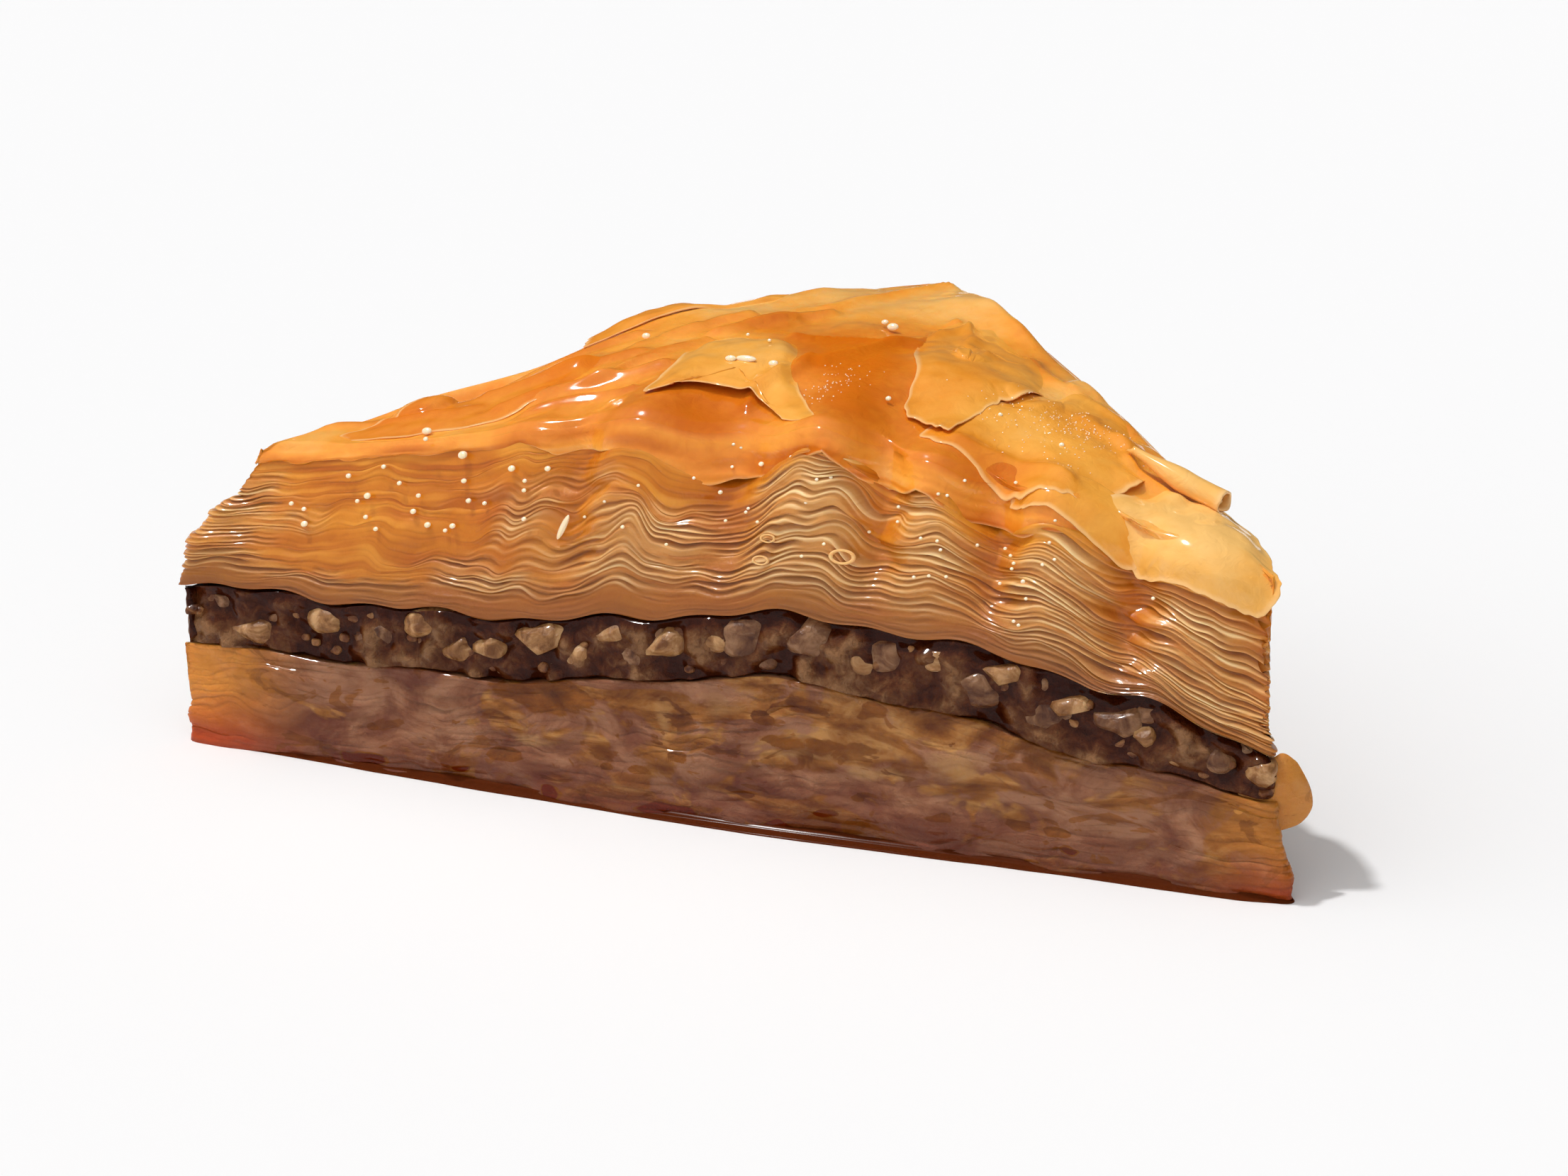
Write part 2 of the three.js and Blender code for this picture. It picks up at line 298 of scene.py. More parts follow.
class Finish:
    def __init__(self, name):
        self.material = bpy.data.materials.new(name)
        self.material.use_nodes = True
        self.tree = self.material.node_tree
        self.skin = self.tree.nodes["Principled BSDF"]
        self.place = self.node("ShaderNodeTexCoord", output="Object")

    def node(self, kind, settings=None, inputs=None, output=0):
        made = self.tree.nodes.new(kind)
        for key, value in (settings or {}).items():
            if key == "stops":
                ramp = made.color_ramp
                while len(ramp.elements) < len(value):
                    ramp.elements.new(0.5)
                for stop, (position, colour) in zip(ramp.elements, value):
                    stop.position = position
                    stop.color = (*linear(*colour), 1)
            else:
                setattr(made, key, value)
        for key, value in (inputs or {}).items():
            self.plug(made.inputs[key], value)
        return Wire(self, made.outputs[output])

    def plug(self, socket, value):
        if isinstance(value, Wire):
            self.tree.links.new(value.socket, socket)
        elif isinstance(value, tuple) and len(value) == 3 and socket.type == "RGBA":
            socket.default_value = (*linear(*value), 1)
        else:
            socket.default_value = value

    def maths(self, operation, first, second):
        return self.node("ShaderNodeMath", {"operation": operation}, {0: first, 1: second})

    def value(self, name):
        return self.node("ShaderNodeAttribute", {"attribute_name": name}, output="Fac")

    def noise(self, perMm, detail=3, stretch=(1, 1, 1), twist=0):
        spot = self.node("ShaderNodeMapping", {}, {"Vector": self.place, "Scale": stretch})
        inputs = {
            "Vector": spot, "Scale": perMm / mm, "Detail": detail, "Roughness": 0.55, "Distortion": twist,
        }
        return self.node("ShaderNodeTexNoise", {}, inputs, output="Fac")

    def spread(self, wire, low, high):
        # stretches a value so that low becomes 0 and high becomes 1
        return self.node("ShaderNodeMapRange", {"clamp": True}, {0: wire, 1: low, 2: high})

    def ramp(self, wire, stops):
        return self.node("ShaderNodeValToRGB", {"stops": stops}, {"Fac": wire})

    def mix(self, factor, first, second):
        settings = {"data_type": "RGBA", "clamp_factor": True}
        return self.node("ShaderNodeMix", settings, {0: factor, 6: first, 7: second}, output=2)

    def bump(self, height, depth, strength=1.0):
        inputs = {"Height": height, "Distance": depth * mm, "Strength": strength}
        self.plug(self.skin.inputs["Normal"], self.node("ShaderNodeBump", {}, inputs))

    def set(self, **sockets):
        for key, value in sockets.items():
            self.plug(self.skin.inputs[socketNames[key]], value)


leafPaint = {
    "lip": [(0.25, (232, 168, 96)), (0.5, (246, 192, 122)), (0.75, (255, 220, 160))],
    "amber": [(0.3, (146, 68, 8)), (0.5, (176, 92, 18)), (0.7, (204, 124, 38))],
    "tan": [(0.3, (184, 112, 48)), (0.5, (202, 134, 66)), (0.7, (218, 156, 88))],
    "film": [(0.3, (190, 98, 14)), (0.48, (212, 124, 24)), (0.66, (232, 152, 46))],
    "low": (146, 82, 30),
    "pressed": [(154, 92, 42), (126, 70, 28)],  # the sheets just above the nuts
    "skin": {"roughness": 0.4, "specular": 0.05, "glow": 0.3, "glowReach": (1.0, 0.6, 0.3),
             "glowScale": 0.2 * mm, "coat": 0.55, "coatRoughness": 0.1},
}


def leafFinish(paint):
    f = Finish("golden_leaves")
    crease, wet, rise, tone = (f.value(name) for name in ("crease", "wet", "rise", "tone"))
    cloud, fine = f.noise(0.11), f.noise(0.9, stretch=(0.4, 0.4, 3))
    lip = f.ramp(tone * 0.6 + fine * 0.4, paint["lip"])
    amber = f.ramp(tone * 0.5 + cloud * 0.5, paint["amber"])
    tan = f.ramp(tone * 0.5 + fine * 0.5, paint["tan"])
    film = f.ramp(cloud * 0.7 + tone * 0.3, paint["film"])
    # Lips keep the pale colour; towards the grooves between leaves it turns tan, then dark amber. This is
    # partly syrup in the gaps and partly painted shade in the grooves.
    dry = f.mix(f.spread(crease, 0.0, 0.4), lip, tan)
    dry = f.mix(f.spread(crease, 0.5, 1.0) * 0.85, dry, amber)
    damp = f.mix(f.spread(crease, 0.4, 1.0) * 0.3 + fine * 0.15, film, amber)
    body = f.mix(wet, dry, damp)
    body = f.mix(f.spread(rise, 0.55, 0.0) * 0.5, body, paint["low"])
    f.set(colour=f.mix(f.spread(rise, 0.2, 0.04) * 0.8, body, f.mix(cloud, *paint["pressed"])))
    f.set(**paint["skin"])
    f.bump(f.noise(1.5, 3, stretch=(1, 1, 0.6)), 0.2, 0.6)
    return f


crustPaint = {
    "stops": (0.2, 0.4, 0.6, 0.85),
    "crust": [(204, 103, 18), (228, 130, 32), (250, 158, 54), (255, 184, 98)],
    "flake": [(222, 120, 26), (236, 148, 40), (247, 172, 68), (248, 194, 112)],
    "edge": (255, 206, 140),
    "coat": 0.8,
    "skin": {"roughness": 0.35, "specular": 0.0, "glowReach": (1.0, 0.5, 0.2), "glowScale": 0.2 * mm,
             "coatRoughness": 0.09},
}


def crustFinish(name, colours, glow, paint):
    # tone makes the crust deeper or brighter, and rim is the thin edge of a torn sheet
    f = Finish(name)
    tone, rim, sparkle = f.value("tone"), f.value("rim"), f.value("sparkle")
    cloud, fine = f.noise(0.1, 4), f.noise(0.8, 4)
    shade = tone + (cloud - 0.5) * 0.5 + (fine - 0.5) * 0.15
    body = f.ramp(shade, list(zip(paint["stops"], colours)))
    f.set(colour=f.mix(rim, body, paint["edge"]), glow=glow, **paint["skin"])
    f.set(coat=paint["coat"] * f.spread(tone, 0.1, 0.4))
    grain = f.noise(2.2, 2) * sparkle
    f.bump(f.noise(0.7, 4, twist=0.8) + f.noise(2.4, 3) * 0.15 + grain * 0.6, 0.24, 0.7)
    return f


pastePaint = {
    "paste": [(0.44, (60, 20, 5)), (0.54, (86, 40, 17)), (0.64, (112, 68, 38)), (0.74, (150, 106, 70))],
    "skin": {"roughness": 0.5, "specular": 0.0, "glow": 0.1, "glowReach": (1.0, 0.5, 0.3),
             "glowScale": 0.4 * mm, "coat": 0.28, "coatRoughness": 0.09},
}


def pasteFinish(paint):
    f = Finish("nut_paste")
    cloud, fine = f.noise(0.28, 4, twist=0.8), f.noise(0.9, 5, twist=1.2)
    # lump carries the paste's bulges and the painted shadow along its top below the upper leaves
    f.set(colour=f.ramp(f.value("lump") * 0.35 + cloud * 0.35 + fine * 0.4, paint["paste"]), **paint["skin"])
    f.bump(f.noise(1.8, 5, twist=0.6) + f.noise(4, 3) * 0.4, 0.9)
    return f


nutPaint = {
    "stops": (0.36, 0.5, 0.64),
    "pale": [(112, 68, 32), (156, 110, 66), (194, 150, 102)],
    "walnut": [(76, 40, 22), (116, 76, 48), (150, 110, 78)],
    "crumb": [(66, 26, 8), (108, 62, 32), (158, 110, 66)],
    "skin": {"roughness": 0.45, "specular": 0.1, "glow": 0.3, "glowReach": (1.0, 0.5, 0.25),
             "glowScale": 0.5 * mm, "coat": 0.3, "coatRoughness": 0.1},
}


def nutFinish(kind, paint):
    f = Finish(f"{kind}_nut")
    f.set(colour=f.ramp(f.noise(0.6, 5, twist=1.0), list(zip(paint["stops"], paint[kind]))), **paint["skin"])
    f.bump(f.noise(1.6, 4, twist=0.5), 0.3)
    return f


soakedPaint = {
    "leaves": [(0.38, (104, 52, 12)), (0.5, (147, 91, 38)), (0.62, (192, 138, 78))],
    # a syrup film whose mauve-grey tone is partly a painted reflection of light
    "smearAndPaintedSheen": [(0.36, (102, 52, 35)), (0.5, (132, 82, 56)), (0.62, (160, 111, 81))],
    "amber": [(0.35, (80, 32, 4)), (0.62, (138, 78, 18))],
    "pale": (182, 136, 84), "low": (104, 44, 30), "arch": (96, 26, 2), "crease": (96, 46, 12),
    "ends": [(228, 146, 56), (190, 72, 24)],  # the lit corners, above and at the base
    "skin": {"roughness": 0.5, "specular": 0.0, "glow": 0.4, "glowReach": (1.0, 0.42, 0.2),
             "glowScale": 0.5 * mm, "coat": 0.45, "coatRoughness": 0.1},
}


def soakedFinish(paint):
    f = Finish("soaked_leaves")
    crease, rise, ends, pools, pales, warm = (
        f.value(name) for name in ("crease", "rise", "ends", "pools", "pales", "warm"))
    cloud = f.noise(0.08, 3, stretch=(1, 1, 1.6), twist=1.5)
    blotch = f.noise(0.2, 5, stretch=(0.8, 0.8, 1.4), twist=1.0)
    streak = f.noise(0.3, 4, stretch=(0.5, 0.5, 1.8), twist=1.2)
    speck = f.noise(0.4, 3, stretch=(0.6, 0.6, 1.3), twist=1.2)
    leaves = f.ramp(streak * 0.6 + blotch * 0.4, paint["leaves"])
    # the smear colour is a syrup film, its mauve-grey partly a painted sheen of reflected light
    smearAndPaintedSheen, amber = f.ramp(blotch, paint["smearAndPaintedSheen"]), f.ramp(blotch, paint["amber"])
    body = f.mix(f.spread(cloud * 0.6 + blotch * 0.4 - warm * 0.08, 0.45, 0.49), leaves, smearAndPaintedSheen)
    body = f.mix(f.spread(pales + (blotch - 0.5) * 1.4, 0.4, 0.9) * 0.6, body, paint["pale"])
    body = f.mix(f.spread(rise, 0.36, 0.02) * 0.7, body, paint["low"])
    body = f.mix(ends * 0.85, body, f.mix(f.spread(rise, 0.6, 0.1), *paint["ends"]))
    body = f.mix(f.spread(pools + (blotch - 0.5) * 1.2, 0.4, 0.47) * 0.95, body, amber)
    body = f.mix(f.spread(speck, 0.6, 0.63) * (0.75 - 0.75 * ends), body, amber)
    arch = f.spread(pools + (blotch - 0.5) * 0.5, 0.5, 0.58) * f.spread(rise, 0.3, 0.16)
    body = f.mix(arch, body, paint["arch"])
    # darker in the grooves between leaves: painted shade over the syrup's own amber
    f.set(colour=f.mix(crease * 0.25, body, paint["crease"]), **paint["skin"])
    grain = f.noise(1.1, 3, twist=0.8) * 0.3 + f.noise(3, 3) * 0.16
    f.bump(streak * 0.6 + blotch * 0.6 + grain, 0.9)
    return f


syrupPaint = {
    "film": {"colour": (84, 36, 14), "coat": 0.008}, "filmBump": 0.35,
    # the drops are painted cream-white as highlights: each stands for a glint of light on syrup
    "drop": {"colour": (255, 228, 190), "coat": 0.8}, "dropBump": 0.002,
    "skin": {"roughness": 0.5, "specular": 0.0, "glow": 0.3, "glowReach": (1.0, 0.4, 0.1),
             "glowScale": 0.6 * mm, "coatRoughness": 0.12},
}


def syrupFinish(kind, paint):
    f = Finish(f"syrup_{kind}")
    f.set(**paint[kind], **paint["skin"])
    f.bump(f.noise(0.9, 3), paint[f"{kind}Bump"])
    return f


# Stacks of leaves

def capRows(insets, heights, edge):
    flat = blend(edge[None], middle[None, None], np.array(insets)[:, None, None])
    return np.concatenate([flat, heights(flat[..., 0], flat[..., 1])[..., None]], axis=2)


leafWaves = {  # layers of noise: amount, length in mm, pace from leaf to leaf or up the wall, and seed
    "thick": [(0.3, 5, 1, 1), (0.25, 1.7, 1, 15)],
    "gap": [(0.8, 7, 0.9, 2), (0.6, 2.1, 1, 3)],
    "ragged": [(0.5, 5, 0.8, 4), (0.25, 1.6, 1, 5), (0.1, 0.92, 1.7, 6)],
    "shown": [
        (1.3, 4, 1.3, 12), (0.5, 1.4, 1.7, 13),
    ],
    "tone": [(0.4, 14, 3.7, 7), (0.35, 3, 1.9, 16)],
    "lump": [(1, 5, 4, 8), (0.5, 2, 9, 9)],
    "wave": [(1, 5, 4, 10), (0.4, 1.8, 9, 17)],
    "stray": [(1, 9, 0.4, 14)],
}
plainStack = {"stray": 0, "arch": 0, "sink": 0, "droop": 0, "lenses": []}


def leafSpacing(look, waves, x, front):
    # how thick each leaf and the gap above it are, and how hollow the wall is where two leaves part
    leaf = np.arange(look["leaves"])[:, None] * 1.0
    thick = look["lip"] * (1 + waves("thick", leaf))
    gap = look["gap"] * np.clip(1 + waves("gap", leaf), 0.12, 3)
    hollow = np.zeros_like(gap)
    for n, at, width, opening in look["lenses"]:
        parted = hump(x[n] - at, width) * front[n]
        gap[n] += opening * parted
        hollow[n] = np.maximum(hollow[n], parted)
    gap[-1] = 0
    return leaf, thick, gap, hollow


def leafStack(name, look, low, high, lowCorners, highCorners, fold, wetness, extras):
    # each leaf has three rows of points: the foot and the head of its lip, and the groove above it
    look = {**plainStack, **look}
    steps = (look["longSteps"], look["sideSteps"], 7)
    ring, highRing = outline(lowCorners, *steps), outline(highCorners, *steps)
    count, seed = look["leaves"], look["seed"]

    def waves(kind, v):
        total = 0
        for amount, length, pace, n in leafWaves[kind]:
            total = total + amount * roundDrift(ring, length, pace * v, seed + n)
        return total

    middles = ((np.arange(count)[:, None] + 0.5) / count)[..., None]
    x, y = np.moveaxis(blend(ring["at"][None], highRing["at"][None], middles), 2, 0)
    leaf, thick, gap, hollow = leafSpacing(look, waves, x, onLongSide(y))
    starts = np.cumsum(thick + gap, axis=0) - (thick + gap)
    total = (thick + gap).sum(axis=0)
    lipLow, lipHigh = starts / total, (starts + thick) / total
    groove = (lipHigh + np.roll(lipLow, -1, axis=0)) / 2

    wet = wetness(x, y, lipLow) * (1 - hollow)
    setback = np.random.default_rng(seed).uniform(-1, 1, (count, 1)) * 0.35
    out = look["edge"] * (waves("ragged", leaf) + setback) * blend(0.2, 1, 1 - wet)
    shown = np.maximum(np.clip(0.75 + waves("shown", leaf), 0, 1.5), hollow)
    clear = np.minimum(shown, 1)
    dryGroove = look["groove"] * np.clip(gap / look["gap"], 0.3, 2.2)
    depth = blend(look["wetGroove"], dryGroove, 1 - wet) * (0.1 + 0.9 * shown)

    shares = np.empty((3 * count - 1, x.shape[1]))
    pushes, creases = np.empty_like(shares), np.zeros_like(shares)
    shares[0::3], shares[1::3], shares[2::3] = lipLow, lipHigh, groove[:-1]
    pushes[0::3], pushes[1::3] = out, out
    pushes[2::3] = np.minimum(out[:-1], out[1:]) - depth[:-1]
    # lips get low values and grooves high ones; the finishes paint the grooves dark with syrup amber and
    # painted shade
    creases[0::3], creases[1::3] = 0.4 * (1 - clear), 0.4 * (1 - clear)
    creases[2::3] = (0.45 + 0.55 * clear)[:-1]
    tones = np.repeat(0.5 + waves("tone", leaf), 3, axis=0)[:-1]
    wets = np.repeat(wet, 3, axis=0)[:-1]

    at = blend(ring["at"][None], highRing["at"][None], shares[..., None])
    lean = blend(ring["out"][None], highRing["out"][None], shares[..., None])
    x, y = at[..., 0], at[..., 1]
    front = onLongSide(y)
    stray = look["stray"] * waves("stray", shares * count)
    push = pushes + look["lump"] * waves("lump", shares) + fold(x + stray, y, shares)
    at = at + lean * push[..., None]
    arch = look["arch"] * (foldLift(x) - 0.6 * valleyDepth(x) - 0.4) * front
    wave = (look["wave"] * waves("wave", shares) + arch) * 4 * shares * (1 - shares) * blend(0.6, 1.4, shares)
    rises = shares ** (1 + look["droop"] * smooth(x, 27, 42) * front)
    z = blend(low(at[..., 0], at[..., 1]), high(at[..., 0], at[..., 1]), rises) + wave

    def allRows(values, below, above):
        return np.concatenate([np.full((4, x.shape[1]), below), values, np.full((5, x.shape[1]), above)])

    wall = np.concatenate([at, z[..., None]], axis=2)
    under = capRows([1, 0.6, 0.2, 0.06], low, at[0])
    over = capRows([0.02, 0.1, 0.3, 0.6, 1], lambda px, py: high(px, py) - look["sink"], at[-1])
    # painted light and shade: the crests of the folds are painted paler and the valleys between them deeper
    tones = tones + look["arch"] * 0.35 * (foldLift(x) - 1.6 * valleyDepth(x) - 0.3) * front
    ends = smooth(-x, halfLength - 13, halfLength - 1) + 0.6 * smooth(x, halfLength - 8, halfLength)
    values = {
        "crease": allRows(creases, 1.0, 1.0),
        "wet": allRows(wets, 0.0, 1.0),
        "rise": allRows(shares, 0.0, 1.0),
        "tone": allRows(tones, 0.5, 0.5),
        "ends": allRows(ends, 0.0, 0.0),
    }
    for key, value in extras(x, z, front).items():
        values[key] = allRows(value, 0.0, 0.0)
    return gridPiece(name, np.concatenate([under, wall, over]), values)


upperLook = {
    "leaves": 34, "longSteps": 540, "sideSteps": 130, "seed": 11, "lip": 0.4, "gap": 1.35, "groove": 0.4,
    "wetGroove": 0.03, "edge": 0.3, "lump": 0.1, "wave": 0.3, "stray": 1.2, "arch": 0.75, "sink": 0.5,
    "droop": 0.9, "foldPush": 0.6, "valleyPull": 1.5, "leftBulge": 2.4,
    "lenses": [  # which leaf parts from the next, x, width and how far
        (20, 11.6, 2.0, 4), (14, 6.4, 1.6, 2.4), (12, 11.2, 1.2, 5), (10, 4.6, 0.8, 2.4), (24, 5.0, 1.6, 2.4),
        (30, 9.2, 1.7, 6), (31, 16.4, 1.5, 4), (15, 18.3, 2.2, 2.4), (27, 27.5, 2.2, 3), (14, 35.5, 1.8, 3),
        (5, 30.5, 2.4, 3),
    ],
    "hang": [  # x and how far the crust reaches down the wall
        (-46, 0.3), (-16, 0.4), (-11, 1.4), (-6, 2.0), (0, 3.0), (3, 2.6), (6.5, 2.0), (9.3, 0.8),
        (12.8, 2.6), (16.2, 1.2), (19, 2.4), (24, 2.2), (28, 1.4), (32, 0.8), (46, 0.6),
    ],
}


def upperFold(x, y, share):
    push = upperLook["foldPush"] * (foldLift(x) - 0.9) * share
    pull = upperLook["valleyPull"] * valleyDepth(x) * smooth(share, 0.05, 0.5)
    bulge = upperLook["leftBulge"] * smooth(-x, 39, 45) * (hump(share - 0.5, 0.35) - 0.25)
    return (push - pull) * onLongSide(y) + bulge


def fillingCeiling(x, y):
    return fillingTop(x, y) + size["seam"] / 2


def crustEdge(x, y):
    return crustTop(x, y) - size["crustLip"]


def crustHang(x, y):
    torn = 0.4 * drift(x / 2.2 + 30, 0.5, 17) + 0.15 * drift(x / 0.9 + 30, 0.5, 18)
    hang = np.interp(x, *zip(*upperLook["hang"])) + torn
    hang = blend(0.8 + 0.3 * drift(x / 4 + 50, y / 4 + 50, 19), hang, onLongSide(y))
    return np.maximum(hang, 0.25)


def hangShare(x, y):
    return 1 - crustHang(x, y) / (crustEdge(x, y) - fillingCeiling(x, y))


def upperWet(x, y, share):
    shift = 5 * drift(x / 4 + 60, share * 6 + 9, 21) + 2 * drift(x / 1.5 + 60, share * 14 + 9, 22)
    left = smooth(-x + shift, 8, 22) * (1 - 0.7 * smooth(-x + shift, 34, 43))
    left = left * smooth(share + 0.02 * shift, 0.1, 0.3)
    under = smooth(share - hangShare(x, y), -0.26, 0.0)
    film = 0.8 * hump(x + 4, 6) * smooth(share, 0.45, 0.65)  # syrup ran over the edges left of the tall fold
    band = 0.8 * (1 - smooth(share, 0.06, 0.16)) * (1 - 0.5 * smooth(x, 12, 24))
    creased = 0.8 * valleyDepth(x) * smooth(share, 0.2, 0.6)
    patchy = 0.15 + 0.25 * drift(x / 5 + 20, share * 4, 20)
    wettest = np.maximum.reduce([left, under, film, band, creased])
    return np.clip(wettest * onLongSide(y) + patchy, 0, 1)


def leafFold(x, y, share):
    # the sheets keep clear of the crust where it hangs over them
    under = smooth(share - hangShare(x, y), 0.0, 0.07) * smooth(crustHang(x, y), 0.6, 2)
    return upperFold(x, y, share) - 0.8 * under


def nothingMore(x, z, front):
    return {}


goldenLeaves = leafFinish(leafPaint)
upperLeaves = leafStack(
    "upper_leaves", upperLook, fillingCeiling, crustEdge, waistCorners, crustCorners, leafFold, upperWet,
    nothingMore)
finishPiece(upperLeaves, goldenLeaves, "upper_filo")

wallLook = {"footY": -25.2, "headY": -21.9, "lean": 1.2}


def wallPlace(x, z):
    # where the wall of the upper leaves stands on the long side at a place and height
    floor, ceiling = fillingCeiling(x, -25.0), crustEdge(x, -23.0)
    share = min(max((z - floor) / (ceiling - floor), 0.0), 1.0)
    lean = wallLook["lean"] * x / halfLength * share
    return blend(wallLook["footY"], wallLook["headY"], share) + lean - upperFold(x, -halfDepth, share)


curlLook = {
    "curls": [(11.0, 21.0, 1.7, 0.95), (5.1, 21.7, 1.0, 0.55), (4.7, 20.1, 1.1, 0.6)],  # x, z, width, height
    "length": 0.9, "tilt": 78, "turn": 8, "sunk": 0.05,
    "values": {"crease": 0.0, "wet": 0.0, "rise": 0.5, "tone": 0.6},
}


def leafCurls(look):
    # ends of small rolled leaves that show in the wall as rings
    curls = []
    turn = Euler((math.radians(look["tilt"]), 0, math.radians(look["turn"])))
    for x, z, width, height in look["curls"]:
        bpy.ops.object.select_all(action="DESELECT")
        bpy.ops.mesh.primitive_torus_add(
            major_segments=40, minor_segments=10, major_radius=1, minor_radius=0.2)
        curl = bpy.context.object
        curl.data.transform(Matrix.Diagonal((width / 2 * mm, height / 2 * mm, look["length"] * mm, 1.0)))
        place = Vector((x, wallPlace(x, z) - look["sunk"], z)) * mm
        curl.data.transform(Matrix.Translation(place) @ turn.to_matrix().to_4x4())
        curls.append(curl)
    rings = joinPieces(curls, "leaf_curls")
    for key, value in look["values"].items():
        writeValues(rings, key, np.full(len(rings.data.vertices), value))
    return rings


finishPiece(leafCurls(curlLook), goldenLeaves, "upper_filo")
print("upper leaves made")

lowerLook = {
    "leaves": 15, "longSteps": 520, "sideSteps": 120, "seed": 41, "lip": 1.0, "gap": 0.6, "groove": 0.3,
    "wetGroove": 0.03, "edge": 0.4, "lump": 0.4, "wave": 0.7, "footSwell": 1.2, "cornerDraw": 0.7,
    "pools": [  # x, z, half length and half height of the syrup that shows dark in the wall
        (-25.0, 9.2, 8.5, 0.75), (-12.8, 8.0, 4.6, 1.5), (-15.5, 2.8, 1.8, 0.5), (-28.2, 0.9, 2.4, 0.7),
        (-28.0, 3.4, 0.8, 0.35), (-11.8, 0.6, 1.3, 0.6), (-7.3, 3.2, 0.6, 0.5), (-4.6, 3.2, 1.0, 0.4),
        (-1.5, 4.6, 1.1, 0.5), (-1.9, 0.5, 2.9, 0.8), (-2.0, 11.0, 3.2, 0.45), (8.4, 6.9, 3.6, 0.5),
        (13.7, 10.0, 1.4, 0.6), (5.0, 8.6, 1.2, 0.5), (13.4, 3.4, 1.1, 0.45), (10.7, 2.0, 1.0, 0.4),
        (25.0, 3.0, 1.7, 0.5), (28.0, 2.8, 1.2, 0.4), (29.5, 1.7, 0.9, 0.35), (19.5, 2.9, 1.3, 0.3),
        (7.0, 0.5, 2.2, 0.6), (9.0, 9.6, 1.6, 0.4), (17.0, 11.0, 3.0, 0.4), (-20, 1.2, 1.0, 0.3),
    ],
    "pales": [
        (-13.5, 4.3, 2.8, 0.7), (-12.6, 7.9, 1.2, 1.0), (-19.1, 9.3, 0.8, 0.8), (8.0, 6.0, 3.8, 0.35),
        (14.5, 5.4, 3.6, 0.6), (2.0, 8.8, 2.4, 0.9), (-2.5, 7.4, 0.9, 2.0), (20.5, 6.5, 2.6, 1.6),
    ],
}


def lowerFold(x, y, share):
    swell = lowerLook["footSwell"] * hump(x + 3, 26) * (1 - share) * onLongSide(y)
    return swell - lowerLook["cornerDraw"] * smooth(-x, 40, 46) * share


def lowerWet(x, y, share):
    return np.clip(0.95 + 0.25 * drift(x / 7 + 10, share * 3, 43), 0, 1)


def underside(x, y):
    return 0 * x


def lowerCeiling(x, y):
    return lowerTop(x, y) - size["seam"] / 2


def patches(x, z, places):
    sx = x + 0.8 * drift(x / 1.9 + 70, z / 0.9 + 9, 44)
    sz = z + 0.3 * drift(x / 1.4 + 70, z / 0.9 + 40, 45)
    near = [hump(np.hypot((sx - px) / length, (sz - pz) / height), 1.0) for px, pz, length, height in places]
    return np.maximum.reduce(near)


def lowerExtras(x, z, front):
    warm = smooth(x, -8, 16) * smooth(z, 2.5, 6) + 0.4 * drift(x / 6 + 30, z / 3 + 30, 46)
    return {
        "pools": patches(x, z, lowerLook["pools"]) * front,
        "pales": patches(x, z, lowerLook["pales"]) * front,
        "warm": np.clip(warm, 0, 1) - smooth(-x, 16, 26),
    }


soakedLeaves = leafStack(
    "soaked_leaves", lowerLook, underside, lowerCeiling, footCorners, waistCorners, lowerFold, lowerWet,
    lowerExtras)
soaked = soakedFinish(soakedPaint)
finishPiece(soakedLeaves, soaked, "lower_filo")

flapLook = {
    "at": (43.2, -22.9, 7.3), "width": 2.6, "taper": 1.1, "thickness": 0.45, "height": 2.9, "turn": 30,
    "values": {"rise": 0.8, "ends": 0.65, "crease": 0.0, "pools": 0.0, "pales": 0.9, "warm": 1.0},
}


def rightFlap(look):
    # the end of a sheet that curls out of the right corner below the nuts
    bpy.ops.object.select_all(action="DESELECT")
    bpy.ops.mesh.primitive_uv_sphere_add(segments=48, ring_count=28, radius=1)
    flap = bpy.context.object
    flap.name = flap.data.name = "soaked_flap"
    x, y, z = readPoints(flap).T
    ruffle = 0.12 * drift(x * 3 + 9, z * 3 + 9, 47)
    lean = 0.5 * x * x + 0.35 * z * z
    wide = x * (look["width"] - look["taper"] * z) + 0.3 * z
    points = np.stack([wide, y * look["thickness"] + lean + ruffle, z * look["height"] + ruffle], axis=1)
    cosine, sine = math.cos(math.radians(look["turn"])), math.sin(math.radians(look["turn"]))
    points = points @ np.array([[cosine, sine, 0], [-sine, cosine, 0], [0, 0, 1]])
    writePoints(flap, (points + look["at"]) * mm)
    for key, value in look["values"].items():
        writeValues(flap, key, np.full(len(points), value))
    mend(flap)
    return flap


finishPiece(rightFlap(flapLook), soaked, "lower_filo")
print("soaked leaves made")

# Nut filling

pasteLook = {
    "rows": 40, "longSteps": 640, "sideSteps": 120, "back": 0.05, "seed": 71,
    "lumps": ((2.8, 0.45), (1.3, 0.36), (0.6, 0.16)),  # length and depth
    "overlap": 0.05, "leftSetBack": 1.2,
}


def leftSetBack(x):
    # the filling stands back from the sheets at the left corner
    return pasteLook["leftSetBack"] * smooth(-x, 41, 46)


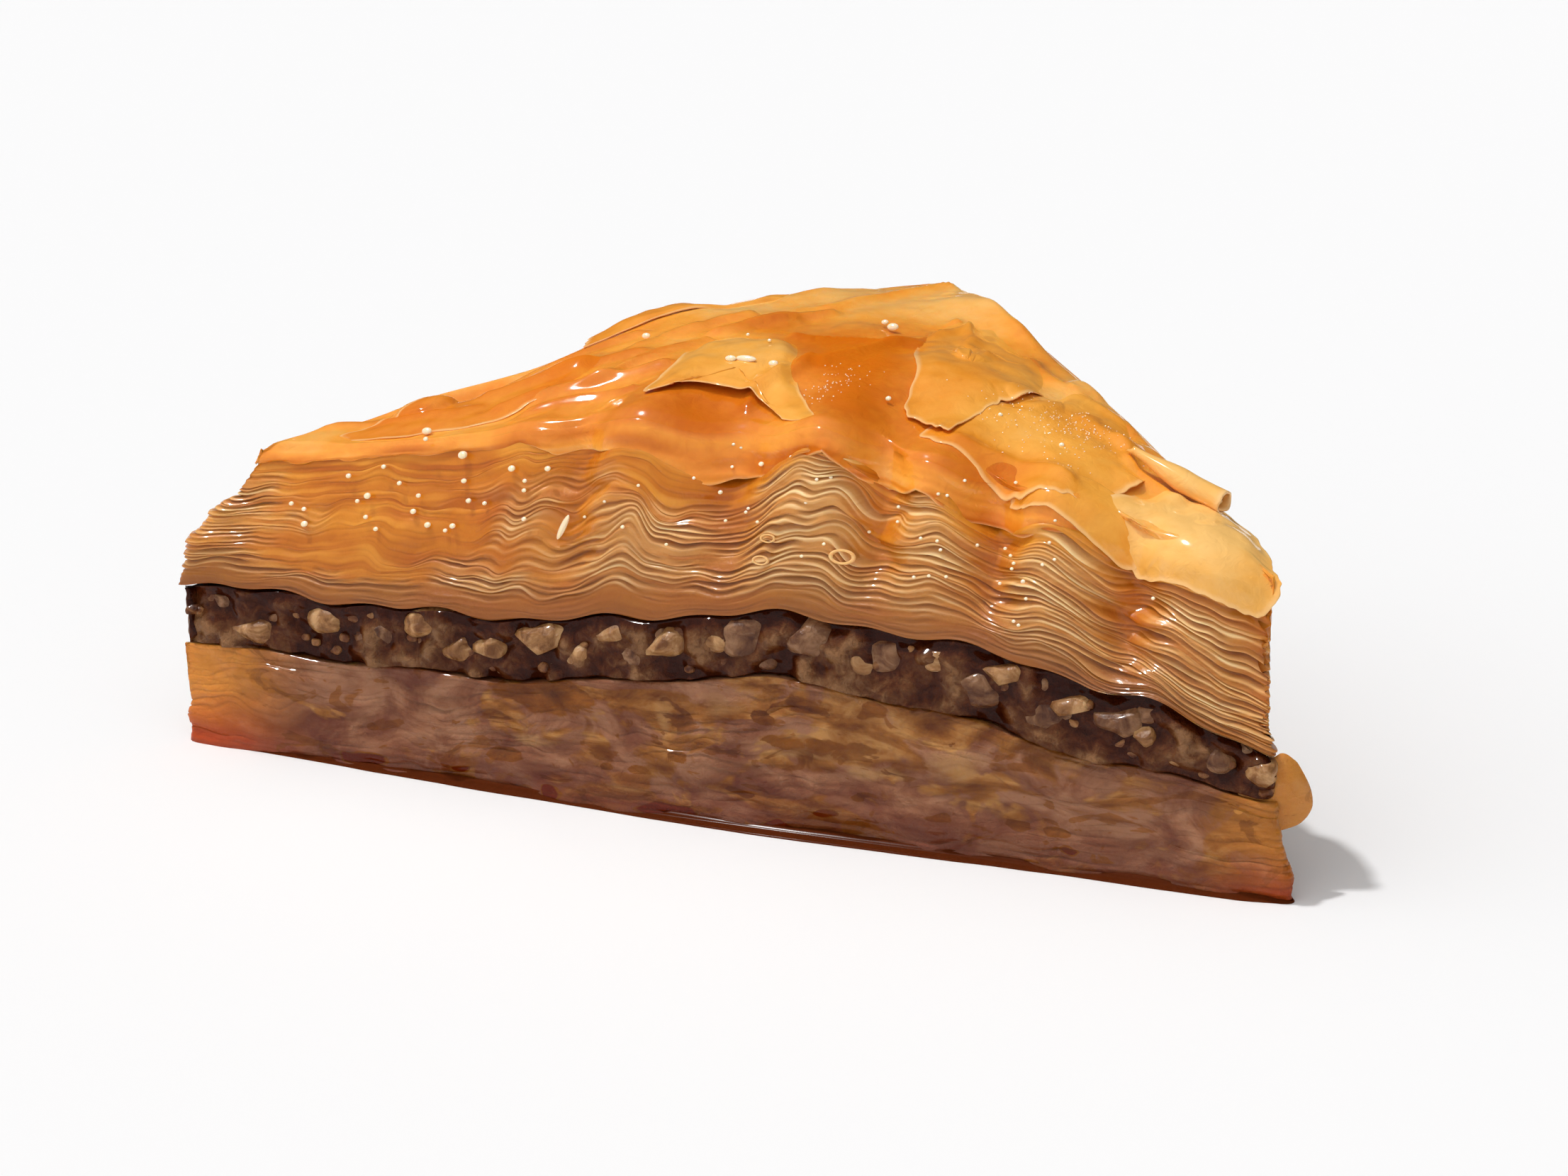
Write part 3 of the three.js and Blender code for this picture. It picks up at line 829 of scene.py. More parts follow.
def nutPaste(look):
    ring = outline(waistCorners, look["longSteps"], look["sideSteps"], 7)
    share = np.linspace(0, 1, look["rows"])[:, None]
    bulge = 0 * share
    for n, (length, depth) in enumerate(look["lumps"]):
        bulge = bulge + depth * roundDrift(ring, length, share * 4.6 / length, look["seed"] + n)
    rounding = -0.5 * smooth(share, 0.8, 1) * smooth(ring["at"][:, 0], -2, 12)
    push = bulge - look["back"] + rounding - leftSetBack(ring["at"][:, 0])

    def floor(x, y):
        return lowerTop(x, y) + look["overlap"]

    def ceiling(x, y):
        return fillingTop(x, y) - look["overlap"]

    at = ring["at"][None] + ring["out"][None] * push[..., None]
    z = blend(floor(at[..., 0], at[..., 1]), ceiling(at[..., 0], at[..., 1]), share)
    points = np.concatenate([
        capRows([1, 0.6, 0.2], floor, at[0]), np.concatenate([at, z[..., None]], axis=2),
        capRows([0.2, 0.6, 1], ceiling, at[-1])])
    # lighter where the paste bulges out, and darker towards its top: painted shadow under the upper leaves
    shade = 0.5 + bulge - 0.5 * smooth(share, 0.76, 0.98)
    return gridPiece("nut_paste", points, {"lump": np.pad(shade, ((3, 3), (0, 0)))})


finishPiece(nutPaste(pasteLook), pasteFinish(pastePaint), "nut_filling")
print("nut paste made")

nutLook = {
    "shown": [  # where a nut shows on the long side: x, rise within the filling, length and height
        (-38.5, 0.3, 5.2, 2.6), (-32.2, 0.72, 3.6, 2.6), (-22.9, 0.75, 5.4, 2.6), (-20.2, 0.4, 3.0, 2.2),
        (-17.6, 0.55, 3.0, 2.4), (-13.4, 0.7, 5.4, 3.2), (-10.2, 0.36, 3.2, 2.4), (-7.0, 0.75, 3.6, 2.0),
        (-2.9, 0.66, 4.8, 2.4), (0.9, 0.62, 3.0, 2.4), (12.1, 0.42, 3.4, 2.3), (18.6, 0.72, 3.2, 2.0),
        (23.6, 0.78, 4.0, 2.0), (28.3, 0.62, 3.6, 1.8), (34.1, 0.42, 1.7, 1.7), (36.6, 0.3, 2.4, 1.3),
    ],
    "walnut": [
        (3.6, 0.6, 5.4, 3.8), (8.4, 0.62, 5.0, 3.6), (14.6, 0.6, 4.4, 3.2), (21.2, 0.4, 5.0, 3.2),
        (26.4, 0.4, 4.4, 2.8), (32.2, 0.6, 4.6, 2.8), (38.5, 0.5, 4.0, 2.4), (-27.5, 0.5, 4.8, 3.0),
        (-5.4, 0.4, 3.6, 2.6),
    ],
    "seed": 5, "paleSunk": 0.36, "walnutSunk": 0.42, "crumbShare": 0.75, "crumbLength": (0.8, 1.6),
    "chipLength": (1.8, 3.0), "backLength": (2.2, 4.4), "backHeight": (1.7, 2.4), "knifeCut": 0.72,
}


def chippedNut(name, seed, cuts):
    # one chopped nut about 2 units long: a ball pressed out of round, then cut flat by the knife
    random = np.random.default_rng(seed)
    bpy.ops.object.select_all(action="DESELECT")
    bpy.ops.mesh.primitive_ico_sphere_add(subdivisions=3, radius=1)
    nut = bpy.context.object
    nut.name = nut.data.name = name
    points = readPoints(nut)
    x, y, z = (points @ random.normal(size=(3, 3))).T
    dents = drift(x * 1.1 + 7, y * 1.1 + 3, seed) + 0.5 * drift(y * 2.3, z * 2.3, seed + 1)
    writePoints(nut, points * (1 + 0.13 * dents)[:, None])
    bpy.ops.object.mode_set(mode="EDIT")
    for _ in range(cuts):
        bpy.ops.mesh.select_all(action="SELECT")
        away = Vector(random.normal(size=3)).normalized()
        cut = away * nutLook["knifeCut"]
        bpy.ops.mesh.bisect(plane_co=cut, plane_no=away, use_fill=True, clear_outer=True)
    bpy.ops.object.mode_set(mode="OBJECT")
    return nut


def copyShape(pattern, place, spans, turn, name):
    piece = pattern.copy()
    piece.data = pattern.data.copy()
    piece.name = name
    bpy.context.collection.objects.link(piece)
    scale = Matrix.Diagonal(Vector(spans) * (mm / 2)).to_4x4()
    piece.data.transform(Matrix.Translation(Vector(place) * mm) @ turn.to_matrix().to_4x4() @ scale)
    return piece


def placeNuts(look):
    random = np.random.default_rng(look["seed"])
    patterns = [chippedNut(f"nut_pattern_{n}", 90 + n, 2 + n % 3) for n in range(5)]
    ring = outline(waistCorners, 300, 160, 4)
    heap = {"pale": [], "walnut": [], "crumb": []}

    def put(kind, index, rise, long, tall, sunk):
        x, y = ring["at"][index] - ring["out"][index] * (sunk + leftSetBack(ring["at"][index, 0]))
        z = blend(lowerTop(x, y), fillingTop(x, y), rise)
        heading = math.atan2(ring["out"][index][1], ring["out"][index][0]) + math.pi / 2
        roll, pitch = random.uniform(-0.3, 0.3), random.uniform(-0.25, 0.25)
        turn = Euler((roll, pitch, heading + random.uniform(-0.3, 0.3)))
        pattern = patterns[random.integers(5)]
        heap[kind].append(copyShape(pattern, (x, y, z), (long, long * 0.7, tall), turn, kind))

    longSide = np.nonzero(ring["out"][:, 1] < -0.99)[0]
    for kind, shown in (("pale", look["shown"]), ("walnut", look["walnut"])):
        for x, rise, long, tall in shown:
            index = longSide[np.argmin(np.abs(ring["at"][longSide, 0] - x))]
            put(kind, index, rise, long, tall, look[f"{kind}Sunk"] * long * 0.7)
    for index in range(0, len(ring["along"]), 3):
        kind = "crumb" if random.random() < look["crumbShare"] else "walnut"
        long = random.uniform(*look["crumbLength" if kind == "crumb" else "chipLength"])
        put(kind, index, random.uniform(0.15, 0.85), long, long * 0.8, 0.45 * long)
    for index in range(longSide[-1] + 4, len(ring["along"]), 9):
        long = random.uniform(*look["backLength"])
        put("pale", index, random.uniform(0.35, 0.65), long, random.uniform(*look["backHeight"]), 0.25 * long)
    for pattern in patterns:
        bpy.data.objects.remove(pattern)
    return heap


for kind, pieces in placeNuts(nutLook).items():
    nuts = joinPieces(pieces, f"nuts_{kind}")
    finishPiece(nuts, nutFinish(kind, nutPaint), "nut_filling")
print("nuts made")

# Crust

crustLook = {
    "longSteps": 360, "sideSteps": 90, "topRows": 60, "hangingRows": 22,
    "sink": 0.15, "rimSink": 0.4, "thick": 0.16, "hollows": (9.3, 16.2),  # x where the hanging edge lifts off
    "swells": [  # x, y, width and height of wide rises and dips
        (-36.5, -17.5, 3.5, 0.6), (-28.5, -8, 5.5, -2.0), (-19.5, 2, 4.5, 0.4), (-14, 8, 3.5, -1.1),
        (-8, 15, 5, 0.7), (1, 20, 4, 0.3), (10.5, 14.5, 5, 1.3), (14, 10, 3, 1.2), (17, 7, 4.5, 0.4),
        (25, -2, 4, 0.4),
    ],
    "bumps": [  # x, y, width and height of small bubbles below the crust
        (-28.8, -14.3, 2.5, 1.0), (21.8, -0.6, 1.8, 0.5), (13.4, -3.7, 1.5, 0.35), (-18, -10, 2, 0.3),
        (29, -9, 2.4, 0.5), (-6, 2, 2.6, 0.2), (20, -8, 2.2, 0.3), (2, 2, 2.5, 0.15), (-12, -2, 2.0, 0.2),
    ],
    "creases": [  # x and y of both ends, height and width of a wrinkle
        (-21, -17, -9, -12.5, 0.5, 0.8), (-17, -18.5, -9, -16, 0.4, 0.6), (-24, -14, -13, -8, 0.4, 0.9),
        (-14, -6, -9, 3, 0.5, 0.9), (-13, -14, -8.5, -5, 0.5, 0.7), (-36, -18, -24, -16.5, 0.3, 0.8),
        (-8, -2, -3, 6, 0.5, 0.8), (16, 2, 26, -6, 0.4, 0.8), (24, -8, 33, -15, 0.5, 0.8),
        (4, -10, 9, 6, 0.4, 0.8), (-4, 8, 2, 20, 0.4, 0.9), (8, 8, 14, -2, 0.5, 0.8),
        (-30, -12, -16, -1, 0.4, 0.8), (18, -18, 27, -18.5, 0.4, 0.8), (0, -18, 3, -9, 0.5, 0.7),
        (-2, -3, 8, -1, 0.4, 0.8),
    ],
    "tones": [  # x, y, width and how much brighter the crust is there
        (3.5, -2, 6, -0.3), (6, -9, 5, -0.4), (8, -16, 4.5, -0.35), (0, 16, 9, 0.25), (-14, 3, 7, 0.15),
        (-26, -10, 7, 0.1), (-12, -13, 5, 0.2), (-24, -13, 6, 0.1), (25, -13, 7, 0.25), (10, 14, 8, 0.25),
        (21, -2, 5, 0.2), (-18, -6, 6, -0.15), (37, -17, 6, 0.4), (-38, -18, 5, 0.15),
        (-4, -19.5, 4, -0.35), (-22, -19, 4, 0.1), (15, -19.5, 4, -0.2), (22, -20, 4, -0.3),
    ],
}


def nearLine(x, y, ax, ay, bx, by):
    t = np.clip(((x - ax) * (bx - ax) + (y - ay) * (by - ay)) / ((bx - ax) ** 2 + (by - ay) ** 2), 0, 1)
    return np.hypot(x - ax - t * (bx - ax), y - ay - t * (by - ay))


def creases(x, y, widen=1):
    # each wrinkle's height, and how near the points are to it
    wander = 0.8 * drift(x / 3 + 90, y / 3 + 90, 134)
    for ax, ay, bx, by, height, width in crustLook["creases"]:
        yield height, hump(nearLine(x + wander, y + wander, ax, ay, bx, by), widen * width)


def crustRelief(x, y):
    ripples = 0.1 * drift(x / 2.6 + 40, y / 2.6 + 40, 131) + 0.04 * drift(x / 1.1 + 80, y / 1.1 + 80, 132)
    waves = 0.3 * drift(x / 7 + 60, y / 7 + 60, 133)
    wrinkles = sum(height * near for height, near in creases(x, y))
    relief = ripples + waves + wrinkles
    for px, py, width, height in crustLook["bumps"]:
        relief = relief + height * np.sqrt(np.clip(1 - (np.hypot(x - px, y - py) / width) ** 2, 0, 1))
    for px, py, width, height in crustLook["swells"]:
        relief = relief + height * hump(np.hypot(x - px, y - py), width)
    return relief


def crustTone(x, y):
    spots = 0
    for px, py, width, amount in crustLook["tones"]:
        spots = spots + amount * hump(np.hypot(x - px, y - py), width)
    # painted shade: the crust is painted deeper orange along the flanks of its wrinkles
    deep = sum(near for height, near in creases(x, y, 1.5))
    return 0.5 + spots + 0.15 * drift(x / 5 + 20, y / 5 + 20, 135) - 0.16 * np.minimum(deep, 1.2)


def crustSparkle(x, y):
    return hump(nearLine(x, y, 20, -8, 25, -12), 3.5) + 0.7 * hump(nearLine(x, y, 4, -7, 7, -14), 3)


def crustSheet(look):
    steps = (look["longSteps"], look["sideSteps"], 7)
    ring, low = outline(crustCorners, *steps), outline(waistCorners, *steps)
    edgeX, edgeY = ring["at"].T
    fold = upperFold(edgeX, edgeY, 1.0)
    rim = ring["at"] + ring["out"] * fold[:, None]
    reach = 1 - np.linspace(1, 0, look["topRows"])[:, None] ** 1.5
    flat = blend(middle[None, None], ring["at"][None], reach[..., None])
    flat = flat + ring["out"][None] * (fold * reach ** 8)[..., None]
    x, y = flat[..., 0], flat[..., 1]
    fromRim = np.linalg.norm(flat - rim[None], axis=2)
    z = crustTop(x, y) + crustRelief(x, y) * smooth(fromRim, 0, 2)
    z = z - look["sink"] - look["rimSink"] * (1 - smooth(fromRim, 0, 1.2))
    top = np.concatenate([flat, z[..., None]], axis=2)

    hung = np.linspace(0, 1, look["hangingRows"])[:, None]
    edge = hangShare(edgeX, edgeY)
    share = blend(1 - 0.04 * (1 - edge), edge, hung)
    at = blend(low["at"][None], ring["at"][None], share[..., None])
    wallX, wallY = at[..., 0], at[..., 1]
    lip = 0.55 * sum(hump(wallX - hollow, 1.5) for hollow in look["hollows"]) * hung ** 3
    uneven = 0.1 * roundDrift(ring, 3, share * 20, 142) + 0.1 * hung * roundDrift(ring, 7, share * 40, 144)
    push = upperFold(wallX, wallY, share) + 0.12 - 0.16 * hung ** 3 + uneven + lip
    at = at + ring["out"][None] * push[..., None]
    floor, ceiling = fillingCeiling(at[..., 0], at[..., 1]), crustEdge(at[..., 0], at[..., 1])
    apron = np.concatenate([at, (blend(floor, ceiling, share) + 0.1)[..., None]], axis=2)

    hungTone = 0.5 - 0.12 * hung + 0.2 * roundDrift(ring, 5, 2 * hung, 143)
    hungTone = hungTone + 0.25 * hung * roundDrift(ring, 8, share * 40, 144)
    values = {
        "tone": np.concatenate([crustTone(x, y), hungTone]),
        "rim": np.concatenate([0 * x, smooth(hung, 0.92, 1) * 0.5 + 0 * edgeX]),
        "sparkle": np.concatenate([crustSparkle(x, y), 0 * wallX]),
    }
    sheet = gridPiece("crust", np.concatenate([top, apron]), values)
    thicken(sheet, look["thick"])
    return sheet


crustGlaze = crustFinish("glazed_crust", crustPaint["crust"], 0.4, crustPaint)
finishPiece(crustSheet(crustLook), crustGlaze, "upper_filo")
print("crust made")

# Torn flakes on the crust, with their outlines seen from above. Beyond the crust's edge they hang down
# the wall.

flakeThickness = 0.09
flakeLook = {
    "flap": {
        "outline": [
            (-7.6, -18.5), (-7.4, -13), (-8.6, -5.5), (-6.7, -2.9), (-1.5, -3.7), (1.2, -8.2),
            (2.9, -13.2), (7.6, -21.2), (5.0, -20.0), (2.2, -17.4), (-1.1, -16.4), (-4.4, -16.6),
            (-6, -18),
        ],
        "raise": 0.45, "lifts": [(-1, -16.5, 5, 0.7)], "tone": 0.75, "seed": 151,
    },
    "centre": {
        "outline": [
            (12.6, -15.7), (11.2, -10), (8.2, -2), (6.4, 7), (9.5, 9.4), (13.5, 6.5), (17.3, 1.7),
            (19.6, -3.8), (19.2, -9.6), (18.1, -10.8), (17.5, -14.3), (16.6, -18), (14.6, -16.8),
        ],
        "raise": 0.3, "lifts": [(16, -17, 3, 0.5), (19, -8, 3, 0.3)], "tone": 0.5, "seed": 161,
    },
    "right": {
        "outline": [
            (14.7, -17.4), (19.0, -9), (21.0, -2.5), (24.2, -2.6), (29.6, -8.6), (30.4, -12.7),
            (30.2, -16.4), (27.4, -20.6), (24.2, -21.4), (19.5, -20.0),
        ],
        "raise": 0.22, "lifts": [(30.2, -14, 2.2, 1.1), (24, -21, 3, 0.4)], "tone": 0.38, "seed": 171,
    },
    "drape": {
        "outline": [
            (29.0, -18.6), (30.3, -16.4), (31.6, -14.2), (35.3, -12.2), (38.6, -14.8), (41.0, -18.6),
            (42.0, -21.0), (41.2, -23.2), (39.5, -24.2), (37.0, -24.4), (33.0, -23.4), (31, -22.2),
            (30.6, -20.2),
        ],
        "raise": 0.45, "lifts": [(31, -18, 2.2, 0.4)], "tone": 0.8, "seed": 181,
    },
    "apron": {
        "outline": [
            (22.5, -21.5), (24, -18.5), (28, -16.5), (31.4, -17.6), (32.2, -20.4), (31.6, -22.6),
            (28.0, -23.0), (24.4, -22.6),
        ],
        "raise": 0.2, "lifts": [(31.8, -20.5, 1.6, 0.4)], "tone": 0.45, "seed": 186,
    },
    "left": {
        "outline": [
            (-33, -20.2), (-31, -17.5), (-27, -12.5), (-20, -7), (-15, -8), (-15, -13), (-18, -17),
            (-22, -19.4), (-28, -20.8),
        ],
        "raise": 0.1, "lifts": [(-16, -11, 4, 0.3)], "tone": 0.0, "seed": 201,
    },
    "back": {
        "outline": [
            (-20, -2), (-14, 4), (-8, 11), (-10, 13), (-15, 8), (-21, 1),
        ],
        "raise": 0.15, "lifts": [(16, 7, 3, 0.3)], "tone": 0.3, "seed": 211,
    },
    "leaf": {
        "outline": [
            (10.9, 0.2), (12.4, -1.2), (13.6, -3.6), (14.0, -6.2), (13.0, -5.6), (11.8, -3.4),
            (11.0, -1.4),
        ],
        "raise": 0.42, "lifts": [(12.6, -3, 1.6, 0.3)], "tone": 0.55, "seed": 221,
    },
}


def closedCurve(points, steps):
    # a smooth closed line through the points
    points = np.array(points, float)
    t = (np.arange(steps) / steps)[None, :, None]
    p0, p1, p2, p3 = (np.roll(points, shift, 0)[:, None] for shift in (1, 0, -1, -2))
    bend = (2 * p0 - 5 * p1 + 4 * p2 - p3) * t ** 2 + (3 * p1 - p0 - 3 * p2 + p3) * t ** 3
    return (0.5 * (2 * p1 + (p2 - p0) * t + bend)).reshape(-1, 2)


def laidOnCrust(x, y, above):
    # points of a sheet that lies on the crust and turns down over its front edge
    t = (x - crustCorners[0, 0]) / (crustCorners[1, 0] - crustCorners[0, 0])
    edge = blend(crustCorners[0, 1], crustCorners[1, 1], t) - upperFold(x, -halfDepth + 0 * x, 1.0) - 0.25
    past = edge - y
    drop = (past + np.hypot(past, 1.1)) / 2
    level = np.maximum(y, edge)
    z = crustTop(x, level) + crustRelief(x, level) * smooth(level - edge, 0, 3) - drop
    over = smooth(drop, 0, 1.5)
    return np.stack([x, y + 0.75 * drop - above * over, z + above * (1 - over)], axis=-1)


def tornFlake(name, look):
    rim = closedCurve(look["outline"], 20)
    centre = rim.mean(axis=0)
    around = np.arange(len(rim)) / len(rim)
    seed = look["seed"]
    tear = 1 + 0.05 * drift(around * 24, 0.5, seed, 24) + 0.035 * drift(around * 60, 0.5, seed + 1, 60)
    reach = 1 - np.linspace(1, 0, 24)[:, None] ** 1.4
    flat = centre + (rim - centre)[None] * (reach * tear)[..., None]
    x, y = flat[..., 0], flat[..., 1]
    lifted = sum(height * hump(np.hypot(x - lx, y - ly), width) for lx, ly, width, height in look["lifts"])
    settle = look["raise"] + 0.1 * drift(x / 1.6 + 30, y / 1.6 + 30, seed + 2)
    facing = (centre - rim) @ np.array([0.4, 0.92]) / np.abs(rim - centre).max()
    facing = facing + 0.15 * drift(around * 12, 0.5, seed + 3, 12)
    free = smooth(facing, -0.25, 0.1)[None]  # the rest lies under the glaze
    settle = settle * (1 - 0.9 * smooth(reach, 0.6, 1)) - 0.35 * smooth(reach, 0.7, 1) * (1 - free)
    points = laidOnCrust(x, y, 0.05 + settle + lifted * reach ** 3 * free)
    fromRim = np.linalg.norm(flat - flat[-1:], axis=2)
    values = {
        "tone": 0.5 * crustTone(x, y) + 0.5 * look["tone"],
        "rim": (1 - smooth(fromRim, 0.1, 0.5)) * 0.65 * free,
        "sparkle": crustSparkle(x, y),
    }
    flake = gridPiece(name, points, values)
    thicken(flake, flakeThickness)
    return flake


flakeGlaze = crustFinish("pale_flake", crustPaint["flake"], 0.0, crustPaint)
for kind, look in flakeLook.items():
    finishPiece(tornFlake(f"flake_{kind}", look), flakeGlaze, "upper_filo")

rollLook = {
    "start": (28.8, -12.2), "end": (36.2, -13.7), "radius": 1.15, "turns": 1.35, "raise": 0.95,
    "flatten": 0.78, "thick": 0.16, "tone": 0.8,
}


def rolledSheet(look):
    # the edge of a sheet that rolled up along the right back side
    start, end = np.array(look["start"]), np.array(look["end"])
    t = np.linspace(0, 1, 40)[:, None]
    angle = np.linspace(0, 1, 64)[None, :] * look["turns"] * 2 * math.pi
    radius = look["radius"] * (0.62 + 0.38 * angle / angle.max()) * (0.3 + 0.7 * smooth(t, 0, 0.6))
    radius = radius * (1 + 0.08 * drift(t * 6, angle * 0.6, 231))
    along = (end - start) / np.linalg.norm(end - start)
    side = np.array([-along[1], along[0]])
    line = start + (end - start) * t
    slip = 0.5 * drift(angle * 0.8, 0.5, 232)
    flat = line[:, None] + side * (radius * np.cos(angle + 2.6))[..., None] + along * slip[..., None]
    z = crustTop(line[:, 0], line[:, 1])[:, None] + look["raise"]
    z = z + radius * look["flatten"] * np.sin(angle + 2.6)
    values = {"tone": look["tone"] + 0 * z, "rim": smooth(t, 0.93, 1.0) + 0 * z, "sparkle": 0 * z}
    roll = gridPiece("rolled_sheet", np.concatenate([flat, z[..., None]], axis=2), values, wrapped=False)
    thicken(roll, look["thick"])
    return roll


finishPiece(rolledSheet(rollLook), flakeGlaze, "upper_filo")
print("flakes made")

# Syrup that ran out below the piece, and drops of it on the walls and the crust, painted cream-white as
# glints of light

syrupLook = {
    "reach": 0.5, "furthest": 1.2, "seed": 221, "crustDropRadius": (0.05, 0.12),
    "profile": [  # share of the film's reach and height, from below the piece, round its edge and back
        (-2.0, 0.02), (1.0, 0.02), (1.0, 0.06), (0.85, 0.13), (0.5, 0.2), (0.15, 0.32), (0.0, 0.55),
        (-2.0, 0.6),
    ],
    "wallDropsPaintedGlint": [  # x, z and radius of the drops on the long side, painted as glints
        (-24.2, 26.0, 0.42), (-21.1, 25.0, 0.77), (-16.4, 24.6, 0.59), (-13.5, 24.8, 0.51),
        (-27.7, 23.6, 0.42), (-30.8, 22.6, 0.47), (-26.2, 22.5, 0.42), (-20.8, 23.1, 0.47),
        (-15.2, 23.8, 0.38), (-15.2, 23.1, 0.38), (-28.9, 21.3, 0.59), (-24.5, 21.7, 0.42),
        (-20.2, 21.7, 0.47), (-18.7, 21.7, 0.38), (-35.8, 20.0, 0.42), (-34.6, 19.7, 0.42),
        (-29.8, 20.8, 0.38), (-24.8, 20.5, 0.51), (-28.9, 19.7, 0.42), (-15.0, 21.0, 0.42),
        (-34.4, 18.6, 0.59), (-23.5, 19.6, 0.55), (-21.4, 19.7, 0.51), (-22.0, 19.3, 0.38),
        (-27.9, 18.9, 0.42), (-6.5, 21.4, 0.34), (3.6, 26.6, 0.42), (0.4, 24.2, 0.38), (20.5, 22.4, 0.3),
        (24.5, 20.6, 0.34), (33.5, 20.0, 0.3),
    ],
    "small": 0.28,
    "smallDropsPaintedGlint": [
        (0.9, 27.6), (1.5, 27.4), (1.0, 26.0), (2.8, 23.3), (2.6, 23.0), (6.5, 27.7), (8.8, 26.4),
        (9.8, 26.6), (8.1, 24.7), (9.7, 21.9), (12.4, 22.6), (8.1, 20.9), (14.5, 24.6), (14.6, 23.6),
        (17.7, 26.0), (18.3, 25.9), (16.8, 22.9), (18.0, 22.8), (18.3, 22.2), (16.6, 20.2), (17.7, 20.4),
        (18.9, 20.4), (19.3, 26.9), (22.5, 22.3), (23.1, 22.0), (23.5, 21.6), (23.4, 21.2), (22.5, 20.0),
        (24.9, 19.5), (25.8, 21.9), (26.6, 22.3), (26.3, 24.9), (26.1, 23.4), (22.8, 26.9), (24.2, 17.9),
        (24.6, 17.7), (3.9, 22.6), (1.0, 22.2), (-5.5, 24.5), (-8.3, 23.0), (-10.4, 21.4), (-1.5, 25.2),
        (-3.0, 20.4),
    ],
    "glints": [  # x, y, height above the crust, radius and stretch of larger drops on the crust, painted as glints
        (3.3, 3.7, 0.3, 0.5, 1.2), (4.3, 2.9, 0.3, 0.75, 1.3), (-2.9, -12.5, 0.62, 0.6, 1.5),
        (-1.7, -12.3, 0.66, 0.65, 2.6), (0.6, -12.4, 0.62, 0.6, 1.3), (-14.6, -3.3, 0.3, 0.6, 1.2),
        (11.1, -15.3, 0.3, 0.45, 1.0), (-25.1, -20.5, 0.3, 0.7, 1.2), (19.0, -13.0, 0.3, 0.35, 1.0),
        (24.1, -14.1, 0.3, 0.4, 1.0), (-5.2, -4.2, 0.3, 0.3, 1.0), (-1.7, -7.9, 0.62, 0.3, 1.0),
    ],
    "streak": (-11.9, 20.6, 0.8, 2.8, -62),  # x, z, radius, stretch and tilt of the long drop on the wall, a painted streak of highlight
    "crustDropsPaintedSparkle": [  # x, y, spread both ways, how many and how high above the crust; tiny drops painted as sparkle
        (22.6, -11.5, 2.8, 2.2, 240, 0.32), (6.4, -14.5, 1.2, 2.2, 80, 0.05),
    ],
}


def syrupPool(look):
    ring = outline(footCorners, 300, 100, 7)
    x, y = ring["at"].T
    seed, profile = look["seed"], look["profile"]
    uneven = 0.6 * roundDrift(ring, 9, 0.5, seed) + 0.25 * roundDrift(ring, 3, 0.5, seed + 1)
    along = smooth(x, -42, -20) * (1 - smooth(x, 41, 45)) * onLongSide(y)
    reach = 0.1 + (0.6 * look["reach"] * (1 + uneven) + 0.15 + 0.5 * hump(x - 12, 18)) * along
    reach = np.minimum(reach, look["furthest"])
    centre = np.repeat(middle[None], len(x), 0)

    def closing(z):
        return np.concatenate([centre, np.full((len(x), 1), z)], axis=1)

    points = [closing(profile[0][1])]
    for share, z in profile:
        push = np.where(share > 0, reach * share, share) + lowerFold(x, y, 0)
        height = (z * (0.3 + 0.7 * along))[:, None]
        points.append(np.concatenate([ring["at"] + ring["out"] * push[:, None], height], axis=1))
    points.append(closing(profile[-1][1]))
    return gridPiece("syrup_pool", np.array(points), {})


finishPiece(syrupPool(syrupLook), syrupFinish("film", syrupPaint), "lower_filo")


def paintedGlintDrops(look):
    # drops of syrup whose cream-white colour paints glints of light
    bpy.ops.object.select_all(action="DESELECT")
    bpy.ops.mesh.primitive_uv_sphere_add(segments=20, ring_count=12, radius=1)
    pattern = bpy.context.object
    places = []
    for x, z, radius in look["wallDropsPaintedGlint"] + [(x, z, look["small"]) for x, z in look["smallDropsPaintedGlint"]]:
        places.append(((x, wallPlace(x, z) - 0.25 * radius, z), radius, 1.0, 0))
    x, z, radius, stretch, tilt = look["streak"]
    places.append(((x, wallPlace(x, z) - 0.7 * radius, z), radius, stretch, math.radians(tilt)))
    random = np.random.default_rng(look["seed"])
    for x, y, wide, deep, count, above in look["crustDropsPaintedSparkle"]:
        x, y = random.normal(x, wide, count), np.minimum(random.normal(y, deep, count), y + 1.6 * deep)
        for place in laidOnCrust(x, y, above):
            places.append((place, random.uniform(*look["crustDropRadius"]), 1.0, 0))
    for x, y, above, radius, stretch in look["glints"]:
        places.append((laidOnCrust(np.array([x]), np.array([y]), above)[0], radius, stretch, 0))
    drops = []
    for place, radius, stretch, tilt in places:
        spans = (stretch * radius, 0.9 * radius, 0.5 * radius)
        drops.append(copyShape(pattern, place, spans, Euler((math.radians(45), tilt, 0)), "drop"))
    bpy.data.objects.remove(pattern)
    return joinPieces(drops, "syrup_drops_painted_glints")


finishPiece(paintedGlintDrops(syrupLook), syrupFinish("drop", syrupPaint), "upper_filo")
print("syrup made")

# Floor, light and camera

view = {
    "yaw": 23.56, "pitch": 16.33, "distance": 234.8, "aim": (-4.57, 1.5, 10.07),
    "focalPixels": 4001, "widthPixels": 2212, "sensor": 36,
}


